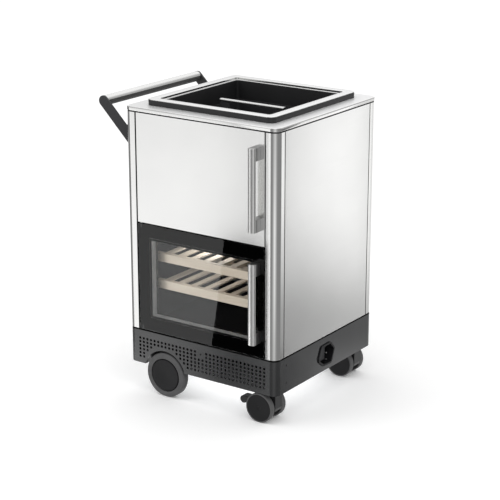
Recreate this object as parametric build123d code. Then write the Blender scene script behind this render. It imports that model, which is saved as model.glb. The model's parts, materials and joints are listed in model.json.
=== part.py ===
"""Outdoor bar cart: a square steel cabinet on two wheels and two casters.

The top holds a lift-out bin in a deep well, the upper door closes a dry
compartment, and the glass door closes a cooled compartment with two wine
shelves. Millimetres, +Z up, front towards -Y. While a piece is being made, X
and Y are measured from the middle of the cabinet and Z from the floor. The
whole cart is moved once, when it is written, so that the origin lies on the
floor under the middle of its outline.
"""
from build123d import *
from math import asin, atan2, cos, hypot, sin
import os

# Cabinet
BODY_W = 600.0
CORNER_R = 25.0
BODY_H = 744.0
SHEET = 1.5
SHADOW_INSET = 4.0

# Base
CASTER_D = 100.0
CASTER_HEADROOM = 2.0
SKIRT_H = 118.0
SKIRT_T = 2.0
DECK_T = 5.5
TRAY_T = 2.0
TRAY_LIFT = 6.0
HOLE_D = 9.0
HOLE_PITCH_X = 15.4
HOLE_PITCH_Z = 13.1
HOLE_MARGIN = 45.5
HOLE_ROWS = 6
BLANK_ROWS = 2
FIRST_ROW_LIFT = 24.0
ARCH_CLEAR = 8.5
ARCH_BORDER = 12.0

# Big wheels
WHEEL_D = 155.0
WHEEL_W = 30.0
WHEEL_FROM_LEFT = 150.0
TYRE_WALL = 19.5
TYRE_SHOULDER = 5.0
CAP_GAP = 3.0
CAP_STEP = 6.0
AXLE_R = 8.0
AXLE_GRIP = 21.0
WHEEL_SIDE_GAP = 4.0
AXLE_PLATE_T = 6.0
AXLE_PLATE_HALF = 25.0
AXLE_PLATE_TOP = 70.0
HOUSING_T = 2.0

# Casters
STEM_FROM_RIGHT = 36.0
FRONT_STEM_INSET = 43.5
REAR_STEM_INSET = 63.5
CASTER_TRAIL = 32.0
CASTER_W = 87.0
CASTER_WHEEL_W = 22.0
CASTER_TYRE_T = 4.5
CASTER_TYRE_ROUND = 3.0
HOOD_SIDE_GAP = 2.0
HOOD_NOSE = 18.0
HOOD_LOW = 40.0
HOOD_CHAMFER = 8.0
HOOD_INSET = 1.0
STEM_R = 6.0
STEM_DEPTH = 26.0
COLLAR_R = 15.0
PLATE_HALF = 30.0
PLATE_T = 4.0
CASTER_AXLE_R = 5.0
CASTER_BORE_DEPTH = 16.0
PEDAL_T = 26.0
PEDAL_REACH = 93.0
PEDAL_PIVOT_BACK = 37.0
PEDAL_PIVOT_Z = 60.0
PEDAL_PIN_R = 2.5
PEDAL_KNUCKLE_R = 8.0
PEDAL_DROP = 7.0
CHEEK_T = 4.0
POCKET_CLEAR = 3.0
KNUCKLE_GAP = 0.5

# Posts and shadow gaps
POST_W = 42.0
POST_T = 3.0
PANEL_GAP = 4.0
PANEL_LIP = 20.0
TOP_GAP = 4.5

# Worktop, raised rim and well
WORKTOP_T = 12.0
WORKTOP_OVERHANG = 1.5
WORKTOP_ROUND = 4.0
RIM_H = 20.0
RIM_OUTER = 500.0
RIM_INNER = 440.0
RIM_R = 22.0
TRIM_T = 1.5
TRIM_ROUND = 1.0
LEDGE_W = 10.0
LEDGE_DROP = 7.0
WELL_DEPTH = 190.0
WELL_T = 2.5
WELL_R = 12.0

# Lift-out bin
BIN_CLEAR = 4.0
BIN_T = 2.0
BIN_RIM_DROP = 64.0
BIN_STAND = 0.3
BIN_BAR_L = 256.0
BIN_BAR_W = 16.0
BIN_BAR_T = 8.0
BIN_BAR_DROP = 26.0
BIN_POST_W = 36.0
BIN_POST_T = 5.0

# Doors
DOOR_SPLIT_H = 374.0
DOOR_T = 38.0
DOOR_GAP = 4.0
GASKET_T = 4.7
SEAL_GAP = 0.3
GASKET_W = 12.0
PIN_R = 3.0
PIN_INSET = 12.0
PIN_SETBACK = 8.0
PIN_LENGTH = 14.0
PIN_END_GAP = 1.0
LEAF_T = 2.0
LEAF_GAP = 1.0
LEAF_HALF = 9.0
DOOR_PAN_DEPTH = 20.0
DOOR_EDGE_R = 2.0
GLASS_T = 5.0
GLASS_BORDER = 55.0
SPACER_T = 8.0
SPACER_DEPTH = 22.0
INNER_GLASS_T = 4.0

# Door handles
HANDLE_REACH = 37.0
HANDLE_BAR_T = 12.0
HANDLE_W = 27.0
HANDLE_L = 271.0
HANDLE_FOOT = 41.0
HANDLE_CENTRE_FROM_RIGHT = 75.0
HANDLE_NOSE = 5.0

# Push handle
PUSH_REACH = 119.0
PUSH_R = 17.5
PUSH_DROP = 5.0
PUSH_INSET = 35.0
PUSH_PLATE_T = 8.0
PUSH_ARM_HALF = 18.0
PUSH_FOOT_H = 76.0
PUSH_FOOT_DROP = 57.0
PUSH_PAD_T = 4.0
PUSH_PAD_L = 16.0
GRIP_RISE = 4.0

# Skirt screws
SCREW_R = 3.0
SCREW_PROUD = 0.5
SCREW_FROM_FRONT = 61.0
SCREW_LOW = 31.0
SCREW_SPACING = 61.0
MIDDLE_SCREW_LIFT = 83.0

# Compartments
LINER_W = 450.0
LINER_T = 2.5
COLD_FLOOR_LIFT = 26.0
COLD_ROOF = 28.0
FOAM_BACK = 40.0
FOAM_TOP = 16.0
DRY_LIFT = 12.0
DRY_ROOF = 41.0
DRY_DEPTH = 440.0

# Wine shelves
RAIL_H = 29.5
RAIL_T = 18.0
RAIL_SETBACK = 12.0
SHELF_DEPTH = 310.0
SHELF_BACK_GAP = 30.0
SHELF_LOW_LIFT = 112.0
SHELF_PITCH = 94.5
SLAT_W = 24.0
SLAT_PITCH = 53.0
SLAT_T = 6.0
SLAT_DROP = 2.0
SHELF_SIDE_GAP = 6.0
RUNNER_H = 8.0

# Cooling parts
BAY_DEPTH = 162.5
BAY_FROM_BACK = 104.0
COMPRESSOR_R = 55.0
COMPRESSOR_H = 150.0
COMPRESSOR_X = 150.0
COMPRESSOR_DOME_R = 26.0
FOOT_R = 6.0
FOOT_H = 12.0
FOOT_SPREAD = 32.0
CONDENSER_X = -40.0
CONDENSER_W = 130.0
CONDENSER_D = 60.0
CONDENSER_H = 150.0
CONDENSER_PLATE_T = 4.0
FIN_PITCH = 6.0
FIN_T = 2.0
FAN_R = 50.0
FAN_HUB_R = 16.0
FAN_HUB_L = 12.0
FAN_BLADES = 5
BLADE_W = 18.0
BLADE_T = 2.5
BLADE_TILT = 30.0
FAN_TIP_GAP = 3.0
SHROUD_L = 24.0
SHROUD_SIDE = 8.0
STRUT_W = 6.0
MOTOR_R = 15.0
MOTOR_L = 6.0
SHAFT_R = 3.0
FAN_SETBACK = 3.0
EVAPORATOR_W = 370.0
EVAPORATOR_H = 200.0
EVAPORATOR_T = 12.0
PIPE_R = 3.0
PIPE_BEND_R = 14.0
PIPE_RISE = 30.0
SUCTION_LIFT = 90.0
PIPE_SPREAD = 18.0
POWER_BOX_X = -210.0
POWER_BOX_W = 110.0
POWER_BOX_D = 40.0
POWER_BOX_H = 70.0

# Power inlet
INLET_LIFT = 56.0
BEZEL_L = 108.0
BEZEL_H = 82.0
BEZEL_CORNER_SHARES = (
    (-0.48, -0.05), (-0.31, 0.45), (0.23, 0.48), (0.49, 0.12), (0.30, -0.49), (-0.19, -0.46), (-0.43, -0.21))
BEZEL_PROUD = 4.0
BEZEL_WALL = 5.0
BEZEL_ROUND = 14.0
INLET_DEPTH = 34.0
SOCKET_W = 32.0
SOCKET_H = 46.0
SOCKET_OUT = 18.0
SOCKET_SHIFT = 8.0
SOCKET_EDGE = 3.0
CONTACT_R = 3.0
CONTACT_L = 16.0
CONTACT_SHIFT = 25.0
CONTACT_DROP = 17.0
CONTACT_PITCH = 24.0

# Fits and cuts
RUNNING = 0.05
REST_GAP = 0.3
OVERRUN = 5.0

# Heights that follow
SKIRT_LOW = CASTER_D + CASTER_HEADROOM
SKIRT_TOP = SKIRT_LOW + SKIRT_H
TRAY_LOW = SKIRT_LOW + TRAY_LIFT
TRAY_TOP = TRAY_LOW + TRAY_T
BODY_LOW = SKIRT_TOP + DECK_T
BODY_TOP = BODY_LOW + BODY_H
WORKTOP_LOW = BODY_TOP + TOP_GAP
WORKTOP_TOP = WORKTOP_LOW + WORKTOP_T
RIM_TOP = WORKTOP_TOP + RIM_H
LEDGE_TOP = RIM_TOP - LEDGE_DROP
SPLIT_Z = BODY_LOW + DOOR_SPLIT_H
SPLIT_HALF = LEAF_T / 2 + LEAF_GAP
PUSH_Z = WORKTOP_TOP - PUSH_DROP
PUSH_FOOT_TOP = BODY_TOP - PUSH_FOOT_DROP
PUSH_FOOT_LOW = PUSH_FOOT_TOP - PUSH_FOOT_H
INLET_Z = SKIRT_LOW + INLET_LIFT

# Plan places that follow
HALF_W = BODY_W / 2
POST_D = DOOR_T + GASKET_T + SEAL_GAP
COLD_DEPTH = RAIL_SETBACK + SHELF_DEPTH + SHELF_BACK_GAP
BODY_D = POST_D + COLD_DEPTH + LINER_T + FOAM_BACK + BAY_DEPTH
HALF_D = BODY_D / 2
BAY_Y = HALF_D - BAY_FROM_BACK
FACE_Y = POST_D - HALF_D
DOOR_HALF = HALF_W - POST_W - DOOR_GAP
DOOR_BACK = DOOR_T - HALF_D
PIN_X = PIN_INSET - DOOR_HALF
PIN_Y = PIN_SETBACK - HALF_D
RECESS_W = HALF_W - SHADOW_INSET
RECESS_D = HALF_D - SHADOW_INSET
WHEEL_X = WHEEL_FROM_LEFT - HALF_W
WHEEL_Z = WHEEL_D / 2
ARCH_R = WHEEL_Z + ARCH_CLEAR
STEM_X = HALF_W - STEM_FROM_RIGHT
CASTER_X = STEM_X - CASTER_TRAIL
CASTER_R = CASTER_D / 2
STEM_YS = {"front": FRONT_STEM_INSET - HALF_D, "rear": HALF_D - REAR_STEM_INSET}
PUSH_X = -HALF_W - PUSH_REACH
PUSH_HALF = HALF_D - PUSH_INSET
LEDGE_INNER = RIM_INNER - 2 * LEDGE_W
WELL_FLOOR = LEDGE_TOP - WELL_DEPTH
BIN_HALF = LEDGE_INNER / 2 - WELL_T - BIN_CLEAR
BIN_LOW = WELL_FLOOR + WELL_T + BIN_STAND
BIN_TOP = LEDGE_TOP - BIN_RIM_DROP
BIN_BAR_TOP = RIM_TOP - BIN_BAR_DROP
LINER_HALF = LINER_W / 2
COLD_LOW = BODY_LOW + COLD_FLOOR_LIFT
COLD_TOP = SPLIT_Z - COLD_ROOF
COLD_BACK = FACE_Y + COLD_DEPTH
SUCTION_Z = COLD_LOW + SUCTION_LIFT
DRY_LOW = SPLIT_Z + DRY_LIFT
DRY_TOP = WELL_FLOOR - DRY_ROOF
DRY_BACK = FACE_Y + DRY_DEPTH
HANDLE_X = HALF_W - HANDLE_CENTRE_FROM_RIGHT
DOORS = {
    "lower": (BODY_LOW, SPLIT_Z - SPLIT_HALF),
    "upper": (SPLIT_Z + SPLIT_HALF, BODY_TOP),
}

# Middle of the outline, which becomes the origin
RIGHT_REACH = HALF_W + BEZEL_PROUD
LEFT_REACH = -PUSH_X + PUSH_ARM_HALF
FRONT_REACH = HALF_D + HANDLE_REACH
BACK_REACH = HALF_D + WORKTOP_OVERHANG
SHIFT_X = (LEFT_REACH - RIGHT_REACH) / 2
SHIFT_Y = (FRONT_REACH - BACK_REACH) / 2

nodes = {}


def span(x, y, z):
    """A block between two coordinates on each axis."""
    sizes = [abs(b - a) for a, b in (x, y, z)]
    middle = [(a + b) / 2 for a, b in (x, y, z)]
    return Pos(*middle) * Box(*sizes)


def slab(half_w, half_d, corner, low, high):
    """A rounded rectangle centred on the cabinet, between two heights."""
    outline = Pos(0, 0, low) * RectangleRounded(2 * half_w, 2 * half_d, corner)
    return extrude(outline, high - low)


def rod(radius, start, end):
    """A round bar from one point to another."""
    line = Vector(*end) - Vector(*start)
    return extrude(Plane(origin=start, z_dir=line) * Circle(radius), line.length)


def side_profile(points, y_low, y_high):
    """An outline drawn in X and Z, as thick as the given range of Y."""
    wire = Polyline(*[(x, y_low, z) for x, z in points], close=True)
    return extrude(make_face(wire), y_high - y_low, dir=(0, 1, 0))


def mirrored(shape):
    """The same piece at the back of the cabinet."""
    return mirror(shape, Plane.XZ)


def group(shapes):
    """Separate solids of one node."""
    return Compound([solid for shape in shapes for solid in shape.solids()])


def base():
    """Skirt, perforated front, tray, wheel housings and deck."""
    edge = HALF_W - CORNER_R
    shell = slab(HALF_W, HALF_D, CORNER_R, SKIRT_LOW, SKIRT_TOP)
    shell -= slab(HALF_W - SKIRT_T, HALF_D - SKIRT_T, CORNER_R - SKIRT_T, SKIRT_LOW, SKIRT_TOP)
    lip = slab(HALF_W - SKIRT_T, HALF_D - SKIRT_T, CORNER_R - SKIRT_T, SKIRT_TOP - SKIRT_T, SKIRT_TOP)
    lip -= span((-edge, edge), (-edge, edge), (SKIRT_LOW, SKIRT_TOP))
    lip -= span((-edge, edge), (-HALF_D, -edge), (SKIRT_LOW, SKIRT_TOP))
    front = span((-edge, edge), (-HALF_D - OVERRUN, SKIRT_T - HALF_D),
                 (SKIRT_LOW - OVERRUN, SKIRT_TOP + OVERRUN))
    arch = rod(ARCH_R, (WHEEL_X, -HALF_D - OVERRUN, WHEEL_Z), (WHEEL_X, HALF_D + OVERRUN, WHEEL_Z))
    window = inlet_outline(BEZEL_WALL, HALF_W - SKIRT_T - OVERRUN, HALF_W + OVERRUN)
    nodes["base_skirt"] = shell + lip - front - arch - window
    panel = span((-edge, edge), (-HALF_D, SKIRT_T - HALF_D), (SKIRT_LOW, SKIRT_TOP))
    nodes["front_grille"] = panel - arch - group(grille_holes())
    well = rod(ARCH_R + HOUSING_T, (WHEEL_X, -HALF_D, WHEEL_Z), (WHEEL_X, HALF_D, WHEEL_Z))
    inner_w, inner_d = HALF_W - SKIRT_T, HALF_D - SKIRT_T
    tray = slab(inner_w, inner_d, CORNER_R - SKIRT_T, TRAY_LOW, TRAY_TOP)
    reach = WHEEL_SIDE_GAP + AXLE_PLATE_T + WHEEL_W + HOUSING_T
    for low, high in ((-HALF_D, reach - HALF_D), (HALF_D - reach, HALF_D)):
        tray -= well & span((-HALF_W, HALF_W), (low, high), (0, SKIRT_TOP))
    nodes["base_tray"] = tray
    housing = well & span((-HALF_W, HALF_W), (SKIRT_T - HALF_D, reach - HALF_D),
                          (SKIRT_LOW, SKIRT_TOP))
    housing -= arch & span((-HALF_W, HALF_W), (-HALF_D, reach - HOUSING_T - HALF_D), (0, SKIRT_TOP))
    nodes["wheel_housings"] = group([housing, mirrored(housing)])
    bay = (POST_W - HALF_W, HALF_W - POST_W)
    notch = span(bay, (-HALF_D, FACE_Y), (SKIRT_TOP, BODY_LOW))
    vent = span(bay, (bay_front(), RECESS_D - POST_D), (SKIRT_TOP, BODY_LOW))
    deck = slab(RECESS_W, RECESS_D, CORNER_R - SHADOW_INSET, SKIRT_TOP, BODY_LOW)
    nodes["base_deck"] = deck - notch - vent


def bay_front():
    """Front of the machine bay behind the cooled compartment."""
    return COLD_BACK + LINER_T + FOAM_BACK


def grille_holes():
    """Holes of the front, left out round the arch and at its middle screw."""
    columns = int((BODY_W - 2 * HOLE_MARGIN) / HOLE_PITCH_X) + 1
    first = -(columns - 1) * HOLE_PITCH_X / 2
    holes = []
    for column in range(columns):
        for row in range(HOLE_ROWS):
            x = first + column * HOLE_PITCH_X
            z = SKIRT_LOW + FIRST_ROW_LIFT + row * HOLE_PITCH_Z
            near_arch = hypot(x - WHEEL_X, z - WHEEL_Z) < ARCH_R + ARCH_BORDER
            near_screw = abs(x) < HOLE_PITCH_X and row >= HOLE_ROWS - BLANK_ROWS
            if not near_arch and not near_screw:
                holes.append(rod(HOLE_D / 2, (x, -HALF_D - OVERRUN, z), (x, SKIRT_T + OVERRUN - HALF_D, z)))
    return holes


def inlet_outline(margin, x_low, x_high):
    """The seven-sided shape of the power inlet with round corners, less a margin, along X."""
    points = [(x_low, along * BEZEL_L, INLET_Z + up * BEZEL_H) for along, up in BEZEL_CORNER_SHARES]
    face = make_face(Polyline(*points, close=True))
    if margin:
        face = offset(face, -margin, kind=Kind.INTERSECTION)
    prism = extrude(face, x_high - x_low, dir=(1, 0, 0))
    return fillet(prism.edges().filter_by(Axis.X), BEZEL_ROUND - margin)


def inlet():
    """Bezel, recessed plug body and its two contact pins on the right of the skirt."""
    outside = HALF_W + BEZEL_PROUD
    floor = outside - INLET_DEPTH + SKIRT_T
    plate = inlet_outline(0, HALF_W, outside)
    collar = inlet_outline(BEZEL_WALL, outside - INLET_DEPTH, HALF_W)
    nodes["inlet_bezel"] = plate + collar - inlet_outline(BEZEL_WALL + SKIRT_T, floor, outside + OVERRUN)
    body = span((floor, floor + SOCKET_OUT), (-SOCKET_SHIFT - SOCKET_W / 2, -SOCKET_SHIFT + SOCKET_W / 2),
                (INLET_Z - SOCKET_H / 2, INLET_Z + SOCKET_H / 2))
    nodes["inlet_socket"] = fillet(body.edges().filter_by(Axis.X), SOCKET_EDGE)
    pins = []
    for z in (INLET_Z - CONTACT_DROP + CONTACT_PITCH / 2, INLET_Z - CONTACT_DROP - CONTACT_PITCH / 2):
        pins.append(rod(CONTACT_R, (floor, CONTACT_SHIFT, z), (floor + CONTACT_L, CONTACT_SHIFT, z)))
    nodes["inlet_contacts"] = group(pins)


def big_wheels():
    """Two large wheels on stub axles under the left side."""
    outer = -HALF_D
    inner = outer + WHEEL_W
    plate_y = inner + WHEEL_SIDE_GAP
    tyre = rod(WHEEL_Z, (WHEEL_X, outer, WHEEL_Z), (WHEEL_X, inner, WHEEL_Z))
    tyre = fillet(tyre.edges().filter_by(GeomType.CIRCLE), TYRE_SHOULDER)
    hub_r = WHEEL_Z - TYRE_WALL
    tyre -= rod(hub_r, (WHEEL_X, outer - OVERRUN, WHEEL_Z), (WHEEL_X, inner + OVERRUN, WHEEL_Z))
    hub = rod(hub_r, (WHEEL_X, outer + CAP_STEP, WHEEL_Z), (WHEEL_X, inner, WHEEL_Z))
    hub += rod(hub_r - CAP_GAP, (WHEEL_X, outer, WHEEL_Z), (WHEEL_X, outer + CAP_STEP, WHEEL_Z))
    grip_end = plate_y - WHEEL_SIDE_GAP - AXLE_GRIP
    hub -= rod(AXLE_R + RUNNING, (WHEEL_X, grip_end - RUNNING, WHEEL_Z), (WHEEL_X, inner + OVERRUN, WHEEL_Z))
    plate = span((WHEEL_X - AXLE_PLATE_HALF, WHEEL_X + AXLE_PLATE_HALF),
                 (plate_y, plate_y + AXLE_PLATE_T), (WHEEL_Z - AXLE_PLATE_HALF, WHEEL_Z + AXLE_PLATE_TOP))
    axle = plate + rod(AXLE_R, (WHEEL_X, grip_end, WHEEL_Z), (WHEEL_X, plate_y, WHEEL_Z))
    nodes["front_wheel_tyre"] = tyre
    nodes["front_wheel_hub"] = hub
    nodes["rear_wheel_tyre"] = mirrored(tyre)
    nodes["rear_wheel_hub"] = mirrored(hub)
    nodes["wheel_axles"] = group([axle, mirrored(axle)])


def casters():
    """Two swivelling twin-wheel casters with brake pedals."""
    stems = []
    for name, y in STEM_YS.items():
        stems.append(caster_stem(y))
        nodes[name + "_caster_hood"] = caster_hood(y)
        side = (CASTER_W - CASTER_WHEEL_W) / 2
        nodes[name + "_caster_wheel_outer"] = caster_wheel(y - side, 1)
        nodes[name + "_caster_wheel_inner"] = caster_wheel(y + side, -1)
        nodes[name + "_caster_pedal"] = caster_pedal(y)
    nodes["caster_stems"] = group(stems)


def caster_stem(y):
    """Mounting plate, collar and swivel pin."""
    plate_low = TRAY_LOW - PLATE_T
    plate = span((STEM_X - PLATE_HALF, STEM_X + PLATE_HALF), (y - PLATE_HALF, y + PLATE_HALF),
                 (plate_low, TRAY_LOW))
    collar = rod(COLLAR_R, (STEM_X, y, SKIRT_LOW - RUNNING), (STEM_X, y, plate_low))
    pin = rod(STEM_R, (STEM_X, y, CASTER_D - STEM_DEPTH), (STEM_X, y, plate_low))
    return plate + collar + pin


def hood_half():
    """Half the width of a hood, between the twin wheels."""
    return CASTER_W / 2 - CASTER_WHEEL_W - HOOD_SIDE_GAP


def caster_hood(y):
    """Hood between the twin wheels, with the axle through it."""
    half = hood_half()
    top = SKIRT_LOW - HOOD_INSET
    nose = STEM_X + HOOD_NOSE
    disc = rod(CASTER_R - HOOD_INSET, (CASTER_X, y - half, CASTER_R), (CASTER_X, y + half, CASTER_R))
    disc &= span((CASTER_X - CASTER_R, CASTER_X + CASTER_R), (y - half, y + half), (HOOD_LOW, top))
    front = side_profile([
        (CASTER_X, HOOD_LOW), (nose - HOOD_CHAMFER, HOOD_LOW), (nose, HOOD_LOW + HOOD_CHAMFER),
        (nose, top), (CASTER_X, top)], y - half, y + half)
    hood = disc + front
    pivot_x = CASTER_X - PEDAL_PIVOT_BACK
    pocket_x = pivot_x + PEDAL_KNUCKLE_R + POCKET_CLEAR
    slot = half - CHEEK_T
    hood -= span((CASTER_X - CASTER_D, pocket_x), (y - slot, y + slot), (0, CASTER_D + OVERRUN))
    hood -= rod(PEDAL_PIN_R + RUNNING, (pivot_x, y - half - OVERRUN, PEDAL_PIVOT_Z),
                (pivot_x, y + half + OVERRUN, PEDAL_PIVOT_Z))
    hood -= rod(STEM_R + RUNNING, (STEM_X, y, CASTER_D - STEM_DEPTH - RUNNING), (STEM_X, y, top + OVERRUN))
    reach = CASTER_W / 2 - CASTER_WHEEL_W + CASTER_BORE_DEPTH - RUNNING
    return hood + rod(CASTER_AXLE_R, (CASTER_X, y - reach, CASTER_R), (CASTER_X, y + reach, CASTER_R))


def caster_wheel(y, inward):
    """A dished disc and its thin tyre, bored from the inner side."""
    half = CASTER_WHEEL_W / 2
    disc_r = CASTER_R - CASTER_TYRE_T
    tyre = rod(CASTER_R, (CASTER_X, y - half, CASTER_R), (CASTER_X, y + half, CASTER_R))
    tyre = fillet(tyre.edges().filter_by(GeomType.CIRCLE), CASTER_TYRE_ROUND)
    tyre -= rod(disc_r, (CASTER_X, y - half - OVERRUN, CASTER_R), (CASTER_X, y + half + OVERRUN, CASTER_R))
    disc = rod(disc_r, (CASTER_X, y - half, CASTER_R), (CASTER_X, y + half, CASTER_R))
    inner = y + inward * half
    disc -= rod(CASTER_AXLE_R + RUNNING, (CASTER_X, inner - inward * CASTER_BORE_DEPTH, CASTER_R),
                (CASTER_X, inner + inward * OVERRUN, CASTER_R))
    return group([disc, tyre])


def caster_pedal(y):
    """Foot lobe behind the wheels, on a pin through the hood's cheeks."""
    half = hood_half()
    pivot_x = CASTER_X - PEDAL_PIVOT_BACK
    knuckle_half = half - CHEEK_T - KNUCKLE_GAP
    tip = CASTER_X - PEDAL_REACH
    nose = PEDAL_T / 2
    nose_z = PEDAL_PIVOT_Z - PEDAL_DROP
    low, high = y - knuckle_half, y + knuckle_half
    lobe = rod(nose, (tip + nose, low, nose_z), (tip + nose, high, nose_z))
    lobe += rod(PEDAL_KNUCKLE_R, (pivot_x, low, PEDAL_PIVOT_Z), (pivot_x, high, PEDAL_PIVOT_Z))
    lobe += side_profile([
        (tip + nose, nose_z - nose), (pivot_x, PEDAL_PIVOT_Z - PEDAL_KNUCKLE_R),
        (pivot_x, PEDAL_PIVOT_Z + PEDAL_KNUCKLE_R), (tip + nose, nose_z + nose)], low, high)
    return lobe + rod(PEDAL_PIN_R, (pivot_x, y - half, PEDAL_PIVOT_Z), (pivot_x, y + half, PEDAL_PIVOT_Z))


def shell():
    """Corner posts, side and back panels, top plate and worktop."""
    post = slab(HALF_W, HALF_D, CORNER_R, BODY_LOW, BODY_TOP)
    post &= span((-HALF_W, POST_W - HALF_W), (-HALF_D, FACE_Y), (BODY_LOW, BODY_TOP))
    bore = slab(HALF_W - POST_T, HALF_D - POST_T, CORNER_R - POST_T, BODY_LOW - OVERRUN, BODY_TOP + OVERRUN)
    bore &= span((-HALF_W, POST_W - POST_T - HALF_W), (-HALF_D, FACE_Y - POST_T),
                 (BODY_LOW - OVERRUN, BODY_TOP + OVERRUN))
    post -= bore
    pair = [post, mirror(post, Plane.YZ)]
    nodes["corner_posts"] = group(pair + [mirrored(shape) for shape in pair])
    edge_d = HALF_D - POST_D - PANEL_GAP
    edge_w = HALF_W - POST_W - PANEL_GAP
    side = span((HALF_W - SHEET, HALF_W), (-edge_d, edge_d), (BODY_LOW, BODY_TOP))
    nodes["side_panels"] = group([side, mirror(side, Plane.YZ)])
    back = span((-edge_w, edge_w), (HALF_D - PANEL_LIP, HALF_D), (BODY_LOW, BODY_TOP))
    nodes["back_panel"] = back - span((-edge_w, edge_w), (HALF_D - PANEL_LIP, HALF_D - SHEET),
                                      (BODY_LOW + SHEET, BODY_TOP - SHEET))
    opening = slab(LEDGE_INNER / 2, LEDGE_INNER / 2, WELL_R, BODY_TOP - OVERRUN, WORKTOP_TOP + OVERRUN)
    notch = span((-HALF_W + POST_W, HALF_W - POST_W), (-HALF_D, FACE_Y), (BODY_TOP, WORKTOP_LOW))
    plate = slab(RECESS_W, RECESS_D, CORNER_R - SHADOW_INSET, BODY_TOP, WORKTOP_LOW)
    nodes["top_plate"] = plate - notch - opening
    half = HALF_W + WORKTOP_OVERHANG
    top = slab(half, HALF_D + WORKTOP_OVERHANG, CORNER_R + WORKTOP_OVERHANG, WORKTOP_LOW, WORKTOP_TOP)
    rims = top.edges().group_by(Axis.Z)
    top = fillet(rims[-1], WORKTOP_ROUND)
    nodes["worktop"] = top - opening


def top_well():
    """Raised rim, its stepped steel trim, the well and the lift-out bin."""
    outer, inner, half = RIM_OUTER / 2, RIM_INNER / 2, LEDGE_INNER / 2
    corner = RIM_R - LEDGE_W
    trim_low = RIM_TOP - TRIM_T
    rim = slab(outer, outer, RIM_R, WORKTOP_TOP, trim_low)
    nodes["top_rim"] = rim - slab(inner, inner, corner, WORKTOP_TOP, trim_low)
    trim = slab(outer, outer, RIM_R, trim_low, RIM_TOP)
    trim = fillet(trim.edges().group_by(Axis.Z)[-1], TRIM_ROUND)
    trim += slab(inner, inner, corner, LEDGE_TOP - TRIM_T, trim_low)
    trim -= slab(inner - TRIM_T, inner - TRIM_T, corner - TRIM_T, LEDGE_TOP, RIM_TOP)
    nodes["rim_trim"] = trim - slab(half, half, WELL_R, LEDGE_TOP - TRIM_T, LEDGE_TOP)
    well = slab(half, half, WELL_R, WELL_FLOOR, LEDGE_TOP)
    inner = half - WELL_T
    nodes["top_well"] = well - slab(inner, inner, WELL_R - WELL_T, WELL_FLOOR + WELL_T, LEDGE_TOP)
    corner = WELL_R - WELL_T
    tub = slab(BIN_HALF, BIN_HALF, corner, BIN_LOW, BIN_TOP)
    tub -= slab(BIN_HALF - BIN_T, BIN_HALF - BIN_T, corner - BIN_T, BIN_LOW + BIN_T, BIN_TOP)
    bar_low = BIN_BAR_TOP - BIN_BAR_T
    posts = []
    for side in (-1, 1):
        outer = side * BIN_BAR_L / 2
        inner = outer - side * BIN_POST_W
        posts.append(span((outer, inner), (-BIN_POST_T / 2, BIN_POST_T / 2), (BIN_LOW + BIN_T, bar_low)))
    nodes["lift_out_bin"] = tub + posts[0] + posts[1]
    nodes["bin_handle"] = span((-BIN_BAR_L / 2, BIN_BAR_L / 2), (-BIN_BAR_W / 2, BIN_BAR_W / 2),
                               (bar_low, BIN_BAR_TOP))


def door_handle(low, high):
    """A bar with a rounded front between two solid feet."""
    centre = (low + high) / 2
    ends = (centre - HANDLE_L / 2, centre + HANDLE_L / 2)
    back = -HALF_D
    front = back - HANDLE_REACH
    x_low, x_high = HANDLE_X - HANDLE_W / 2, HANDLE_X + HANDLE_W / 2
    shoulder = front + HANDLE_NOSE
    outline = Polyline((x_low, shoulder), (x_low, back), (x_high, back), (x_high, shoulder))
    nose = ThreePointArc((x_high, shoulder), (HANDLE_X, front), (x_low, shoulder))
    face = make_face(outline.edges() + nose.edges())
    bar = extrude(Pos(0, 0, ends[0]) * face, HANDLE_L)
    gap = span((x_low - OVERRUN, x_high + OVERRUN), (front + HANDLE_BAR_T, back + OVERRUN),
               (ends[0] + HANDLE_FOOT, ends[1] - HANDLE_FOOT))
    return bar - gap


def door_gasket(low, high):
    """Rubber ring on the back of a door, clear of the hinge side."""
    inset = PIN_INSET + LEAF_T
    half = DOOR_HALF - inset
    ring = span((-half, half), (DOOR_BACK, DOOR_BACK + GASKET_T), (low + inset, high - inset))
    inner = half - GASKET_W
    hole = span((-inner, inner), (DOOR_BACK - OVERRUN, DOOR_BACK + GASKET_T + OVERRUN),
                (low + inset + GASKET_W, high - inset - GASKET_W))
    return ring - hole


def pin_bores(low, high):
    """Holes for the hinge pins in the two ends of a door."""
    depth = PIN_LENGTH + PIN_END_GAP
    lower = rod(PIN_R + RUNNING, (PIN_X, PIN_Y, low - OVERRUN), (PIN_X, PIN_Y, low + depth))
    return lower + rod(PIN_R + RUNNING, (PIN_X, PIN_Y, high - depth), (PIN_X, PIN_Y, high + OVERRUN))


def upright_edges(shape):
    """Front vertical edges of a door."""
    return shape.edges().filter_by(Axis.Z).group_by(Axis.Y)[0]


def upper_door():
    """Steel pan, inner door, gasket and handle."""
    low, high = DOORS["upper"]
    pan = span((-DOOR_HALF, DOOR_HALF), (-HALF_D, DOOR_PAN_DEPTH - HALF_D), (low, high))
    pan = fillet(upright_edges(pan), DOOR_EDGE_R)
    half = DOOR_HALF - SHEET
    core = span((-half, half), (SHEET - HALF_D, DOOR_PAN_DEPTH - HALF_D), (low + SHEET, high - SHEET))
    back = span((-DOOR_HALF, DOOR_HALF), (DOOR_PAN_DEPTH - HALF_D, DOOR_BACK), (low, high))
    nodes["upper_door_skin"] = pan - core - pin_bores(low, high)
    nodes["upper_door_core"] = core + back - pin_bores(low, high)
    nodes["upper_door_gasket"] = door_gasket(low, high)
    nodes["upper_door_handle"] = door_handle(low, high)


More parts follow.
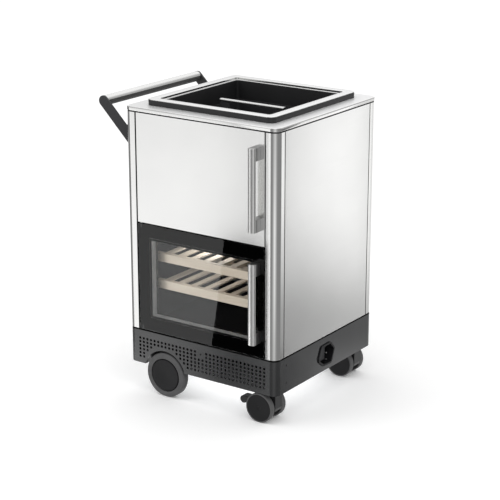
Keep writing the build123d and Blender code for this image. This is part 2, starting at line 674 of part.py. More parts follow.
def lower_door():
    """Glass front, black frame, sealed glazing, gasket and handle."""
    low, high = DOORS["lower"]
    pane_back = GLASS_T - HALF_D
    pane = span((-DOOR_HALF, DOOR_HALF), (-HALF_D, pane_back), (low, high))
    nodes["lower_door_glass"] = fillet(upright_edges(pane), DOOR_EDGE_R)
    half = DOOR_HALF - GLASS_BORDER
    z_low, z_high = low + GLASS_BORDER, high - GLASS_BORDER

    def opening(grow, y_low, y_high):
        return span((-half - grow, half + grow), (y_low, y_high), (z_low - grow, z_high + grow))

    frame = span((-DOOR_HALF, DOOR_HALF), (pane_back, DOOR_BACK), (low, high))
    spacer_back = pane_back + SPACER_DEPTH
    inner_back = spacer_back + INNER_GLASS_T
    frame -= opening(SPACER_T, pane_back, inner_back)
    frame -= opening(0, inner_back, DOOR_BACK)
    nodes["lower_door_frame"] = frame - pin_bores(low, high)
    ring = opening(SPACER_T, pane_back, spacer_back)
    nodes["lower_door_spacer"] = ring - opening(0, pane_back, spacer_back)
    nodes["lower_door_inner_glass"] = opening(SPACER_T, spacer_back, inner_back)
    nodes["lower_door_gasket"] = door_gasket(low, high)
    nodes["lower_door_handle"] = door_handle(low, high)


def hinges():
    """Three hinge leaves with their pins, at the left edge of the doors."""
    leaves = []
    places = (
        (BODY_LOW - LEAF_GAP - LEAF_T, 0, 1),
        (SPLIT_Z - LEAF_T / 2, 1, 1),
        (BODY_TOP + LEAF_GAP, 1, 0),
    )
    for low, down, up in places:
        leaf = span((PIN_X - LEAF_HALF, PIN_X + LEAF_HALF), (PIN_Y, FACE_Y), (low, low + LEAF_T))
        leaf += rod(LEAF_HALF * 2 / 3, (PIN_X, PIN_Y, low), (PIN_X, PIN_Y, low + LEAF_T))
        start = low - down * (PIN_LENGTH + LEAF_GAP)
        end = low + LEAF_T + up * (PIN_LENGTH + LEAF_GAP)
        leaves.append(leaf + rod(PIN_R, (PIN_X, PIN_Y, start), (PIN_X, PIN_Y, end)))
    nodes["hinge_leaves"] = group(leaves)


def compartments():
    """Cooled liner in its insulation, and the dry liner above."""
    foam_half = HALF_W - SHEET
    flange = FACE_Y + LINER_T
    outer = LINER_HALF + LINER_T
    cold = span((-outer, outer), (FACE_Y, COLD_BACK + LINER_T), (COLD_LOW - LINER_T, COLD_TOP + LINER_T))
    jacket_top = SPLIT_Z - FOAM_TOP / 2
    cold += span((-foam_half, foam_half), (FACE_Y, flange), (BODY_LOW, jacket_top))
    inside = span((-LINER_HALF, LINER_HALF), (FACE_Y - OVERRUN, COLD_BACK), (COLD_LOW, COLD_TOP))
    nodes["cold_liner"] = cold - inside
    jacket = span((-foam_half, foam_half), (flange, bay_front()), (BODY_LOW, jacket_top))
    jacket += span((-foam_half, foam_half), (FACE_Y, bay_front()), (jacket_top, DRY_LOW - LINER_T))
    nodes["insulation"] = jacket - span((-outer, outer), (flange - OVERRUN, COLD_BACK + LINER_T),
                                        (COLD_LOW - LINER_T, COLD_TOP + LINER_T))
    dry = span((-outer, outer), (FACE_Y, DRY_BACK + LINER_T), (DRY_LOW - LINER_T, DRY_TOP + LINER_T))
    dry += span((-foam_half, foam_half), (FACE_Y, flange), (DRY_LOW - LINER_T, BODY_TOP))
    nodes["dry_liner"] = dry - span((-LINER_HALF, LINER_HALF), (FACE_Y - OVERRUN, DRY_BACK),
                                    (DRY_LOW, DRY_TOP))
    back = COLD_BACK - EVAPORATOR_T
    middle = (COLD_LOW + COLD_TOP) / 2
    nodes["evaporator"] = span((-EVAPORATOR_W / 2, EVAPORATOR_W / 2), (back, COLD_BACK),
                               (middle - EVAPORATOR_H / 2, middle + EVAPORATOR_H / 2))


def shelf_levels():
    """Height of the top of each front rail."""
    low = COLD_LOW + SHELF_LOW_LIFT + RAIL_H
    return {"lower": low, "upper": low + SHELF_PITCH}


def shelves():
    """Two wooden wine shelves on runners fixed to the liner."""
    half = LINER_HALF - SHELF_SIDE_GAP
    front = FACE_Y + RAIL_SETBACK
    back = front + SHELF_DEPTH
    count = int((2 * half - SLAT_W) / SLAT_PITCH) + 1
    first = -(count - 1) * SLAT_PITCH / 2
    runners = []
    for name, top in shelf_levels().items():
        slat_low = top - SLAT_DROP - SLAT_T
        boards = [span((-half, half), (front, front + RAIL_T), (top - RAIL_H, top))]
        boards.append(span((-half, half), (back - RAIL_T, back), (top - RAIL_H, slat_low)))
        for index in range(count):
            x = first + index * SLAT_PITCH
            boards.append(span((x - SLAT_W / 2, x + SLAT_W / 2), (front + RAIL_T, back),
                              (slat_low, slat_low + SLAT_T)))
        nodes[name + "_wine_shelf"] = group(boards)
        for side in (-1, 1):
            wall = side * LINER_HALF
            reach = side * (half - SHELF_SIDE_GAP)
            runners.append(span((wall, reach), (front, back), (top - RAIL_H - RUNNER_H, top - RAIL_H)))
    nodes["shelf_runners"] = group(runners)


def push_handle():
    """Round bar whose lower part is a soft grip, on two brackets."""
    plate_in = PUSH_HALF - PUSH_PLATE_T
    bar = rod(PUSH_R, (PUSH_X, -plate_in, PUSH_Z), (PUSH_X, plate_in, PUSH_Z))
    lower = span((PUSH_X - PUSH_R, PUSH_X + PUSH_R), (-plate_in, plate_in),
                 (PUSH_Z - PUSH_R, PUSH_Z + GRIP_RISE))
    nodes["push_bar"] = bar - lower
    nodes["push_bar_grip"] = bar & lower
    brackets = []
    rise = PUSH_Z - PUSH_FOOT_LOW
    slope = atan2(rise, PUSH_REACH) - asin(PUSH_ARM_HALF / hypot(rise, PUSH_REACH))
    nx, nz = PUSH_ARM_HALF * sin(slope), PUSH_ARM_HALF * cos(slope)
    run = (PUSH_Z + nz - PUSH_FOOT_TOP) / sin(slope) * cos(slope)
    arm = side_profile([
        (PUSH_X - nx, PUSH_Z - nz), (-HALF_W, PUSH_FOOT_LOW), (-HALF_W, PUSH_FOOT_TOP),
        (PUSH_X + nx + run, PUSH_FOOT_TOP), (PUSH_X + nx, PUSH_Z + nz)], -PUSH_HALF, -plate_in)
    arm += rod(PUSH_ARM_HALF, (PUSH_X, -PUSH_HALF, PUSH_Z), (PUSH_X, -plate_in, PUSH_Z))
    arm += span((-HALF_W - PUSH_PAD_T, -HALF_W), (-PUSH_HALF - PUSH_PAD_L / 2, -plate_in + PUSH_PAD_L / 2),
                (PUSH_FOOT_LOW + PUSH_PAD_T, PUSH_FOOT_TOP))
    nodes["push_brackets"] = group([arm, mirrored(arm)])


def screws():
    """Skirt screws on both sides and the one in the middle of the front."""
    heads = []
    y = SCREW_FROM_FRONT - HALF_D
    for side in (-1, 1):
        for lift in (SCREW_LOW, SCREW_LOW + SCREW_SPACING):
            z = SKIRT_LOW + lift
            heads.append(rod(SCREW_R, (side * (HALF_W + SCREW_PROUD), y, z), (side * HALF_W, y, z)))
    z = SKIRT_LOW + MIDDLE_SCREW_LIFT
    heads.append(rod(SCREW_R, (0, -HALF_D - SCREW_PROUD, z), (0, -HALF_D, z)))
    nodes["skirt_screws"] = group(heads)


def compressor():
    """Hermetic compressor on four rubber feet."""
    low = TRAY_TOP + FOOT_H
    can = rod(COMPRESSOR_R, (COMPRESSOR_X, BAY_Y, low), (COMPRESSOR_X, BAY_Y, TRAY_TOP + COMPRESSOR_H))
    can = fillet(can.edges().filter_by(GeomType.CIRCLE).group_by(Axis.Z)[-1], COMPRESSOR_DOME_R)
    feet = []
    for dx in (-FOOT_SPREAD, FOOT_SPREAD):
        for dy in (-FOOT_SPREAD, FOOT_SPREAD):
            x, y = COMPRESSOR_X + dx, BAY_Y + dy
            feet.append(rod(FOOT_R, (x, y, TRAY_TOP), (x, y, low)))
    nodes["compressor"] = group([can] + feet)


def condenser():
    """Upright fins between a bottom and a top plate."""
    y_low, y_high = BAY_Y - CONDENSER_D / 2, BAY_Y + CONDENSER_D / 2
    x_low, x_high = CONDENSER_X - CONDENSER_W / 2, CONDENSER_X + CONDENSER_W / 2
    top = TRAY_TOP + CONDENSER_H
    block = span((x_low, x_high), (y_low, y_high), (TRAY_TOP, TRAY_TOP + CONDENSER_PLATE_T))
    block += span((x_low, x_high), (y_low, y_high), (top - CONDENSER_PLATE_T, top))
    count = int((CONDENSER_W - FIN_T) / FIN_PITCH) + 1
    first = CONDENSER_X - ((count - 1) * FIN_PITCH + FIN_T) / 2
    for index in range(count):
        x = first + index * FIN_PITCH
        block += span((x, x + FIN_T), (y_low, y_high), (TRAY_TOP, top))
    nodes["condenser"] = block


def fan():
    """Fan behind the condenser, its shroud, and the motor on two struts."""
    x, z = CONDENSER_X, TRAY_TOP + CONDENSER_H / 2
    y_low = BAY_Y + CONDENSER_D / 2
    y_high = y_low + SHROUD_L
    hole = FAN_R + FAN_TIP_GAP
    side = hole + SHROUD_SIDE
    shroud = span((x - side, x + side), (y_low, y_high), (TRAY_TOP, z + side))
    shroud -= rod(hole, (x, y_low - OVERRUN, z), (x, y_high + OVERRUN, z))
    strut_y = (y_high - MOTOR_L, y_high)
    reach = hole + SHROUD_SIDE / 2
    shroud += span((x - reach, x + reach), strut_y, (z - STRUT_W / 2, z + STRUT_W / 2))
    shroud += rod(MOTOR_R, (x, strut_y[0], z), (x, strut_y[1], z))
    shroud += rod(SHAFT_R, (x, y_low + FAN_SETBACK + SHAFT_R, z), (x, strut_y[0], z))
    nodes["fan_shroud"] = shroud
    hub_y = (y_low + FAN_SETBACK, y_low + FAN_SETBACK + FAN_HUB_L)
    rotor = rod(FAN_HUB_R, (x, hub_y[0], z), (x, hub_y[1], z))
    length = FAN_R - FAN_HUB_R / 2
    blade = Rot(BLADE_TILT, 0, 0) * Box(length, BLADE_T, BLADE_W)
    blade = Pos((FAN_R + FAN_HUB_R / 2) / 2, 0, 0) * blade
    for index in range(FAN_BLADES):
        rotor += Pos(x, sum(hub_y) / 2, z) * Rot(0, index * 360 / FAN_BLADES, 0) * blade
    rotor &= rod(FAN_R, (x, hub_y[0] - OVERRUN, z), (x, hub_y[1] + OVERRUN, z))
    rotor -= rod(SHAFT_R + RUNNING, (x, y_low + FAN_SETBACK + SHAFT_R - RUNNING, z), (x, y_high, z))
    nodes["condenser_fan"] = rotor


def pipe(points):
    """A copper tube along straight runs joined by arcs."""
    path = FilletPolyline(*points, radius=PIPE_BEND_R)
    start = Vector(*points[0])
    way = Vector(*points[1]) - start
    return sweep(Plane(origin=start, z_dir=way) * Circle(PIPE_R), path=path)


def pipes():
    """Discharge, liquid and suction tubes, and the holes they need."""
    top_c = TRAY_TOP + COMPRESSOR_H
    top_k = TRAY_TOP + CONDENSER_H
    out_x, in_x = COMPRESSOR_X - PIPE_SPREAD, COMPRESSOR_X + PIPE_SPREAD
    near_x, far_x = CONDENSER_X + PIPE_SPREAD, CONDENSER_X - PIPE_SPREAD
    over = top_c + PIPE_RISE
    tubes = [
        pipe([(out_x, BAY_Y, top_c), (out_x, BAY_Y, over), (near_x, BAY_Y, over),
              (near_x, BAY_Y, top_k)]),
        pipe([(in_x, BAY_Y, top_c), (in_x, BAY_Y, SUCTION_Z), (in_x, COLD_BACK, SUCTION_Z)]),
        pipe([(far_x, BAY_Y, top_k), (far_x, BAY_Y, SUCTION_Z), (far_x, COLD_BACK, SUCTION_Z)]),
    ]
    nodes["refrigerant_pipes"] = group(tubes)
    for x in (in_x, far_x):
        hole = rod(PIPE_R + REST_GAP, (x, COLD_BACK - RUNNING, SUCTION_Z),
                   (x, bay_front() + OVERRUN, SUCTION_Z))
        for name in ("insulation", "cold_liner"):
            nodes[name] = nodes[name] - hole


def power_box():
    """Control and power supply box in the rear bay."""
    half_w, half_d = POWER_BOX_W / 2, POWER_BOX_D / 2
    nodes["power_box"] = span((POWER_BOX_X - half_w, POWER_BOX_X + half_w), (BAY_Y - half_d, BAY_Y + half_d),
                              (TRAY_TOP, TRAY_TOP + POWER_BOX_H))


base()
inlet()
big_wheels()
casters()
shell()
top_well()
upper_door()
lower_door()
hinges()
compartments()
shelves()
push_handle()
screws()
compressor()
condenser()
fan()
pipes()
power_box()

os.makedirs("parts", exist_ok=True)
for name, shape in nodes.items():
    placed = Pos(SHIFT_X, SHIFT_Y, 0) * shape
    placed.label = name
    export_step(placed, "parts/" + name + ".step")
    print(name, len(placed.solids()))
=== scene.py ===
import json
import math

import bmesh
import bpy
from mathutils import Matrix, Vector


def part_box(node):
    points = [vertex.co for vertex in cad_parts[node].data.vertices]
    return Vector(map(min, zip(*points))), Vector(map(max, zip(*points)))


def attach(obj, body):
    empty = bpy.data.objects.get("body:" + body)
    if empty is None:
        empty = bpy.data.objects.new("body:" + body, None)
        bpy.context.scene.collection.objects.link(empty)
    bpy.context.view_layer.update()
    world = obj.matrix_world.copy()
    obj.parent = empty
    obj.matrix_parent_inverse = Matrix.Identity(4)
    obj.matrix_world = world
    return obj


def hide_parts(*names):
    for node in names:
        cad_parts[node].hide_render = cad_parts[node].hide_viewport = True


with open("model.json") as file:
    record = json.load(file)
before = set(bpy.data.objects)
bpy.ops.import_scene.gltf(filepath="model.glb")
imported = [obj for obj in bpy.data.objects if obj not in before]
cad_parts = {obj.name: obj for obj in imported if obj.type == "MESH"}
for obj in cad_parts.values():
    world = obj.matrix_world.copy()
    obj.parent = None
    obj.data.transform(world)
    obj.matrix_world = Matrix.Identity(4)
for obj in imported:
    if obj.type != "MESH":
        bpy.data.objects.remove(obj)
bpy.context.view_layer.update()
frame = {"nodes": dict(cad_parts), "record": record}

nodes = frame["nodes"]
record = frame["record"]
body_of = {n: body for body, members in record["behaviour"]["bodies"].items() for n in members}
slot_of = {s["node"]: s["material_slot"] for s in record["subparts"]}
scene = bpy.context.scene
scene.view_settings.view_transform = "Standard"

# Camera
CAMERA_AT = Vector((2.990, -4.201, 2.067))
CAMERA_AZ = 34.81
CAMERA_EL = 17.28
CAMERA_LENS = 113.93
SENSOR_W = 36.0
CAMERA_REACH = 100.0

camera_data = bpy.data.cameras.new("camera")
camera_data.lens = CAMERA_LENS
camera_data.sensor_width = SENSOR_W
camera_data.clip_end = CAMERA_REACH
camera = bpy.data.objects.new("camera", camera_data)
camera.location = CAMERA_AT
camera.rotation_euler = (math.radians(90 - CAMERA_EL), 0, math.radians(CAMERA_AZ))
scene.collection.objects.link(camera)
scene.camera = camera


def size(node):
    """The lowest corner, highest corner and middle of a CAD node, in metres."""
    low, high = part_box(node)
    return low, high, (low + high) / 2


# Cabinet: a square in plan, measured from its corner posts
posts_low, posts_high, posts_mid = size("corner_posts")
CX, CY = posts_mid.x, posts_mid.y
HALF = posts_high.x - CX
FRONT = CY - HALF
CORNER = 0.025
POST_W = 0.042
POST_D = 0.043
POST_T = 0.003

# Materials. Texture scales are per metre, and bump depths in metres
BRUSH_BUMP = 0.0004
PEEL_BUMP = 0.0003
SPARK_BUMP = 0.0002
BLAST_BUMP = 0.0001
BLAST_SCALE = 700.0
SPECK_SCALE = 420.0
SPARK_SCALE = 1500.0
WOOD_BANDS = 60.0
WOOD_BANDS_ALONG = 3.0
WOOD_FIBRE = 900.0
WOOD_FIBRE_ALONG = 14.0
WIPE_STRETCH = (3, 3, 9)
WIPE_GLOSS = 0.015
# Painted light: worktop and trim steel turn paler across X between the two limits below, a painted
# brightening of their right side
PAINTED_LIGHT_FROM, PAINTED_LIGHT_TO = -0.25, 0.30


def new_material(name):
    mat = bpy.data.materials.new(name)
    mat.use_nodes = True
    tree = mat.node_tree
    return mat, tree, tree.nodes["Principled BSDF"]


def link(tree, a, b):
    tree.links.new(a, b)


def coords(tree, scale=(1, 1, 1)):
    """The piece's coordinates in metres, stretched."""
    place = tree.nodes.new("ShaderNodeTexCoord")
    mapping = tree.nodes.new("ShaderNodeMapping")
    mapping.inputs["Scale"].default_value = scale
    link(tree, place.outputs["Object"], mapping.inputs["Vector"])
    return mapping.outputs["Vector"]


def noise(tree, vector, scale, detail=4.0, rough=0.5):
    node = tree.nodes.new("ShaderNodeTexNoise")
    node.inputs["Scale"].default_value = scale
    node.inputs["Detail"].default_value = detail
    node.inputs["Roughness"].default_value = rough
    link(tree, vector, node.inputs["Vector"])
    return node.outputs["Fac"]


def ranged(tree, value, low, high, from_low=0.3, from_high=0.7):
    """A texture value, most of which lies in 0.3 to 0.7, brought to low to high."""
    node = tree.nodes.new("ShaderNodeMapRange")
    node.inputs["From Min"].default_value = from_low
    node.inputs["From Max"].default_value = from_high
    node.inputs["To Min"].default_value = low
    node.inputs["To Max"].default_value = high
    link(tree, value, node.inputs["Value"])
    return node.outputs["Result"]


def mixed(tree, factor, a, b):
    """Two colours blended by a factor. Each is a plain colour or a node's output."""
    node = tree.nodes.new("ShaderNodeMix")
    node.data_type = "RGBA"
    link(tree, factor, node.inputs["Factor"])
    for socket, value in ((6, a), (7, b)):
        if isinstance(value, tuple):
            node.inputs[socket].default_value = (*value, 1)
        else:
            link(tree, value, node.inputs[socket])
    return node.outputs[2]


def bumped(tree, shader, height, strength, distance):
    node = tree.nodes.new("ShaderNodeBump")
    node.inputs["Strength"].default_value = strength
    node.inputs["Distance"].default_value = distance
    link(tree, height, node.inputs["Height"])
    link(tree, node.outputs["Normal"], shader.inputs["Normal"])


def toned(colour, factor, lift=0.0):
    """A colour made paler or darker, and no brighter than white."""
    return tuple(min(1.0, c * factor + lift) for c in colour)


def convex_edge_mask(tree):
    """A mask that is high on convex edges, from the surface's own pointiness, by which the paint makes its
    edges lighter.
    """
    geometry = tree.nodes.new("ShaderNodeNewGeometry")
    return ranged(tree, geometry.outputs["Pointiness"], 0, 1, 0.52, 0.62)


def steel(name, colour, rough, grain, depth=0.02):
    """Brushed or polished steel. Grain is the stretch of its brush lines."""
    mat, tree, shader = new_material(name)
    lines = noise(tree, coords(tree, grain), 1.0, 6.0, 0.6)
    cloud = noise(tree, coords(tree), 6.0, 3.0)
    base = mixed(tree, ranged(tree, cloud, 0, 1), toned(colour, 0.965), colour)
    link(tree, base, shader.inputs["Base Color"])
    shader.inputs["Metallic"].default_value = 1.0
    link(tree, ranged(tree, lines, rough * 0.85, rough * 1.2), shader.inputs["Roughness"])
    bumped(tree, shader, lines, depth, BRUSH_BUMP)
    return mat


def blasted(name, left, right, rough):
    """Fine-blasted steel: half mirror, half matt, with painted light that makes it a little paler toward the
    right.
    """
    mat, tree, shader = new_material(name)
    fine = noise(tree, coords(tree), BLAST_SCALE, 3.0)
    across = tree.nodes.new("ShaderNodeSeparateXYZ")
    link(tree, coords(tree), across.inputs[0])
    painted_light_ramp = ranged(tree, across.outputs["X"], 0, 1, PAINTED_LIGHT_FROM, PAINTED_LIGHT_TO)
    base = mixed(tree, painted_light_ramp, (left, left, left), (right, right, right))
    link(tree, base, shader.inputs["Base Color"])
    shader.inputs["Metallic"].default_value = 0.5
    shader.inputs["Specular IOR Level"].default_value = 0.3
    link(tree, ranged(tree, fine, rough * 0.95, rough * 1.05), shader.inputs["Roughness"])
    bumped(tree, shader, fine, 0.01, BLAST_BUMP)
    return mat


def paint(name, colour, rough, grain=900.0, depth=0.12, specular=0.5, edge_tone=1.35):
    """Powder-coated metal: a fine orange-peel grain, and edges a little lighter."""
    mat, tree, shader = new_material(name)
    fine = noise(tree, coords(tree), grain, 2.0)
    cloud = noise(tree, coords(tree), 9.0, 4.0)
    base = mixed(tree, ranged(tree, cloud, 0, 1), toned(colour, 0.9), toned(colour, 1.08))
    base = mixed(tree, convex_edge_mask(tree), base, toned(colour, edge_tone, 0.004))
    link(tree, base, shader.inputs["Base Color"])
    link(tree, ranged(tree, cloud, rough * 0.92, rough * 1.1), shader.inputs["Roughness"])
    shader.inputs["Specular IOR Level"].default_value = specular
    bumped(tree, shader, fine, depth, PEEL_BUMP)
    return mat


def rubber(name, colour, rough=0.62):
    """Tyre or seal rubber: speckled, with a dusty bloom."""
    mat, tree, shader = new_material(name)
    speck = noise(tree, coords(tree), SPECK_SCALE, 3.0, 0.7)
    cloud = noise(tree, coords(tree), 22.0, 5.0)
    base = mixed(tree, ranged(tree, cloud, 0, 1), colour, toned(colour, 1.25, 0.002))
    link(tree, base, shader.inputs["Base Color"])
    link(tree, ranged(tree, speck, rough * 0.9, rough * 1.15), shader.inputs["Roughness"])
    shader.inputs["Specular IOR Level"].default_value = 0.3
    bumped(tree, shader, speck, 0.06, PEEL_BUMP)
    return mat


def plastic(name, colour, rough=0.4, depth=0.02, specular=0.5):
    """Moulded plastic with a fine spark-eroded texture."""
    mat, tree, shader = new_material(name)
    fine = noise(tree, coords(tree), SPARK_SCALE, 2.0)
    cloud = noise(tree, coords(tree), 14.0, 3.0)
    base = mixed(tree, ranged(tree, cloud, 0, 1), colour, toned(colour, 1.18))
    link(tree, base, shader.inputs["Base Color"])
    link(tree, ranged(tree, fine, rough * 0.9, rough * 1.1), shader.inputs["Roughness"])
    shader.inputs["Specular IOR Level"].default_value = specular
    bumped(tree, shader, fine, depth, SPARK_BUMP)
    return mat


def wood(name, light, dark, along):
    """Oiled wood with growth bands and fine fibres along one axis, 0 for X and 1 for Y."""
    mat, tree, shader = new_material(name)
    bands = [WOOD_BANDS] * 3
    bands[along] = WOOD_BANDS_ALONG
    grain = noise(tree, coords(tree, bands), 1.0, 8.0, 0.65)
    fibres = [WOOD_FIBRE] * 3
    fibres[along] = WOOD_FIBRE_ALONG
    fibre = noise(tree, coords(tree, fibres), 1.0, 3.0)
    cloud = noise(tree, coords(tree), 5.0, 2.0)
    base = mixed(tree, ranged(tree, grain, 0, 1, 0.32, 0.68), dark, light)
    streak = mixed(tree, ranged(tree, fibre, 0, 0.35, 0.45, 0.75), base, toned(dark, 0.62))
    pale = mixed(tree, ranged(tree, cloud, 0, 0.3), streak, toned(light, 1.12))
    link(tree, pale, shader.inputs["Base Color"])
    link(tree, ranged(tree, fibre, 0.42, 0.6), shader.inputs["Roughness"])
    bumped(tree, shader, fibre, 0.15, PEEL_BUMP)
    return mat


def glass(name, colour, bend):
    """A clear pane with faint wipe marks in its gloss."""
    mat, tree, shader = new_material(name)
    marks = noise(tree, coords(tree, WIPE_STRETCH), 2.0, 5.0)
    link(tree, ranged(tree, marks, 0, WIPE_GLOSS, 0.4, 0.75), shader.inputs["Roughness"])
    shader.inputs["Base Color"].default_value = (*colour, 1)
    shader.inputs["Transmission Weight"].default_value = 1.0
    shader.inputs["IOR"].default_value = bend
    return mat


UPRIGHT_GRAIN = (900.0, 900.0, 6.0)
LEVEL_GRAIN = (6.0, 6.0, 900.0)
BAR_GRAIN = (1200.0, 12.0, 1200.0)
TUBE_GRAIN = (40.0, 40.0, 40.0)
CONTACT_GRAIN = (200.0, 200.0, 200.0)
SCREW_GRAIN = (500.0, 500.0, 500.0)
PANEL_STEEL = (0.92, 0.92, 0.91)
LIGHT_WOOD = (0.68, 0.59, 0.49)
DARK_WOOD = (0.53, 0.44, 0.34)
materials = {
    "steel": steel("steel", PANEL_STEEL, 0.13, LEVEL_GRAIN, 0.006),
    "post_steel": steel("post_steel", PANEL_STEEL, 0.07, UPRIGHT_GRAIN, 0.003),
    # The worktop and trim steel carry painted light that brightens them toward the right
    "worktop_steel": blasted("worktop_steel", 0.80, 0.93, 0.42),
    "trim_steel": blasted("trim_steel", 0.84, 0.92, 0.30),
    "handle_steel": steel("handle_steel", (0.84, 0.84, 0.83), 0.27, UPRIGHT_GRAIN, 0.004),
    # The handle feet's steel is the bar's steel darkened, as painted shade
    "painted_shade_foot_steel": steel("painted_shade_foot_steel", (0.46, 0.46, 0.46), 0.30, UPRIGHT_GRAIN, 0.004),
    "bar_steel": steel("bar_steel", (0.88, 0.88, 0.87), 0.17, BAR_GRAIN, 0.004),
    "anthracite": paint("anthracite", (0.016, 0.0165, 0.0175), 0.16, depth=0.01, specular=0.9),
    "bracket_paint": paint("bracket_paint", (0.034, 0.034, 0.036), 0.40, depth=0.02, specular=0.3),
    "rim_black": paint("rim_black", (0.020, 0.020, 0.021), 0.38, 1100.0, 0.02, 0.4),
    "well_black": paint("well_black", (0.014, 0.014, 0.015), 0.45, 1100.0, 0.02, 0.3),
    "bin_black": paint("bin_black", (0.030, 0.030, 0.032), 0.45, 1100.0, 0.02, 0.3),
    "tyre_rubber": rubber("tyre_rubber", (0.085, 0.085, 0.086)),
    "wheel_plastic": plastic("wheel_plastic", (0.008, 0.008, 0.009), 0.38, 0.02, 0.22),
    "hood_plastic": plastic("hood_plastic", (0.012, 0.012, 0.013), 0.32, 0.02, 0.4),
    # This dark rubber is also painted reflection: on the push tube it stands for a dark reflection on the
    # tube's underside
    "grip_rubber": rubber("grip_rubber", (0.050, 0.050, 0.050), 0.55),
    "gasket_rubber": rubber("gasket_rubber", (0.020, 0.020, 0.020), 0.6),
    "door_glass": glass("door_glass", (0.86, 0.87, 0.87), 1.49),
    "inner_glass": glass("inner_glass", (0.97, 0.98, 0.98), 1.07),
    "spacer_grey": plastic("spacer_grey", (0.55, 0.55, 0.55), 0.6, 0.01, 0.2),
    # The near-black below is painted shade, for the strips that fill the shadow gaps
    "shadow_fill_black": plastic("shadow_fill_black", (0.0025, 0.0025, 0.0025), 0.7, 0.01, 0.05),
    "frame_black": paint("frame_black", (0.003, 0.003, 0.0033), 0.06, 1200.0, 0.0, 0.5),
    "wood": wood("wood", LIGHT_WOOD, DARK_WOOD, 1),
    "rail_wood": wood("rail_wood", LIGHT_WOOD, DARK_WOOD, 0),
    "liner_plastic": plastic("liner_plastic", (0.007, 0.007, 0.008), 0.6, 0.01, 0.06),
    "foam": plastic("foam", (0.045, 0.045, 0.047), 0.8, 0.2, 0.2),
    "galvanised": paint("galvanised", (0.40, 0.41, 0.42), 0.45, 120.0, 0.05, 0.6, 1.1),
    # Machine parts' own black; the base deck and top plate take it too, and there its black is painted shade
    # that darkens the reveals
    "machine_black": paint("machine_black", (0.010, 0.010, 0.010), 0.5, depth=0.02, specular=0.2),
    "fin_aluminium": steel("fin_aluminium", (0.72, 0.73, 0.74), 0.35, UPRIGHT_GRAIN, 0.006),
    "copper": steel("copper", (0.72, 0.38, 0.24), 0.3, TUBE_GRAIN),
    "inlet_plastic": plastic("inlet_plastic", (0.010, 0.010, 0.011), 0.4, 0.02, 0.2),
    "plug_grey": plastic("plug_grey", (0.022, 0.022, 0.024), 0.4, 0.02, 0.3),
    "contact_metal": steel("contact_metal", (0.82, 0.82, 0.80), 0.18, CONTACT_GRAIN),
    "screw_steel": steel("screw_steel", (0.035, 0.035, 0.036), 0.3, SCREW_GRAIN),
}


def paint_on(obj, look):
    obj.data.materials.clear()
    obj.data.materials.append(materials[look])


for name, obj in nodes.items():
    paint_on(obj, slot_of[name])

# Mesh tools. Angles are in degrees
SMOOTH_BELOW = 30.0
BEVEL_SMOOTH_BELOW = 40.0
SHARP_FROM = 30.0
WELD = 1e-5
FLAT_BELOW = 0.8
LEVEL_NORMAL = 0.97


def smooth_by_angle(obj, degrees):
    """Smooth faces, with edges sharper than the angle kept sharp."""
    limit = math.radians(degrees)
    bm = bmesh.new()
    bm.from_mesh(obj.data)
    for face in bm.faces:
        face.smooth = True
    for edge in bm.edges:
        edge.smooth = len(edge.link_faces) == 2 and edge.calc_face_angle(0) < limit
    bm.to_mesh(obj.data)
    bm.free()


def mesh_object(name, verts, faces):
    data = bpy.data.meshes.new(name)
    data.from_pydata([tuple(v) for v in verts], [], faces)
    data.validate()
    bm = bmesh.new()
    bm.from_mesh(data)
    bmesh.ops.recalc_face_normals(bm, faces=bm.faces)
    bm.to_mesh(data)
    bm.free()
    obj = bpy.data.objects.new(name, data)
    scene.collection.objects.link(obj)
    smooth_by_angle(obj, SMOOTH_BELOW)
    return obj


def even_normals(obj):
    modifier = obj.modifiers.new("even_normals", "WEIGHTED_NORMAL")
    modifier.keep_sharp = True


def bevel(obj, width, segments, angle=SHARP_FROM):
    """Rounds the edges that are sharper than the angle, in the mesh itself."""
    bm = bmesh.new()
    bm.from_mesh(obj.data)
    limit = math.radians(angle)
    edges = [e for e in bm.edges if len(e.link_faces) == 2 and e.calc_face_angle(0) > limit]
    bmesh.ops.bevel(
        bm, geom=edges, offset=width, segments=segments, profile=0.5, affect="EDGES", clamp_overlap=True)
    bm.to_mesh(obj.data)
    bm.free()
    smooth_by_angle(obj, BEVEL_SMOOTH_BELOW)
    even_normals(obj)


def settle(obj, body, slot, *replaced, look=None):
    """Gives a piece its look, or its slot's material when no look is given, puts it in its body, and hides
    the CAD nodes that it replaces.
    """
    paint_on(obj, look or slot)
    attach(obj, body)
    if replaced:
        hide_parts(*replaced)
    return obj


# The nodes that keep their own shape: rounding in metres, its segments, and the angle it starts at
EDGES = {
    "side_panels": (0.0005, 2, SHARP_FROM),
    "back_panel": (0.0006, 2, SHARP_FROM),
    "upper_door_core": (0.001, 2, SHARP_FROM),
    "upper_door_skin": (0.0009, 3, SHARP_FROM),
    "lower_door_glass": (0.0009, 3, SHARP_FROM),
    "lower_door_frame": (0.0006, 2, SHARP_FROM),
    "lower_door_spacer": (0.0004, 2, SHARP_FROM),
    "upper_door_gasket": (0.0012, 3, SHARP_FROM),
    "lower_door_gasket": (0.0012, 3, SHARP_FROM),
    "push_brackets": (0.0012, 3, SHARP_FROM),
    "base_skirt": (0.0006, 2, 35.0),
    "front_grille": (0.0003, 1, 50.0),
    "inlet_bezel": (0.0008, 3, SHARP_FROM),
    "inlet_socket": (0.0012, 3, SHARP_FROM),
    "front_caster_hood": (0.0012, 3, 35.0),
    "front_caster_pedal": (0.0022, 4, 35.0),
    "rear_caster_hood": (0.0012, 3, 35.0),
    "rear_caster_pedal": (0.0022, 4, 35.0),
    "shelf_runners": (0.0008, 2, SHARP_FROM),
    "cold_liner": (0.0008, 2, SHARP_FROM),
    "dry_liner": (0.0008, 2, SHARP_FROM),
}


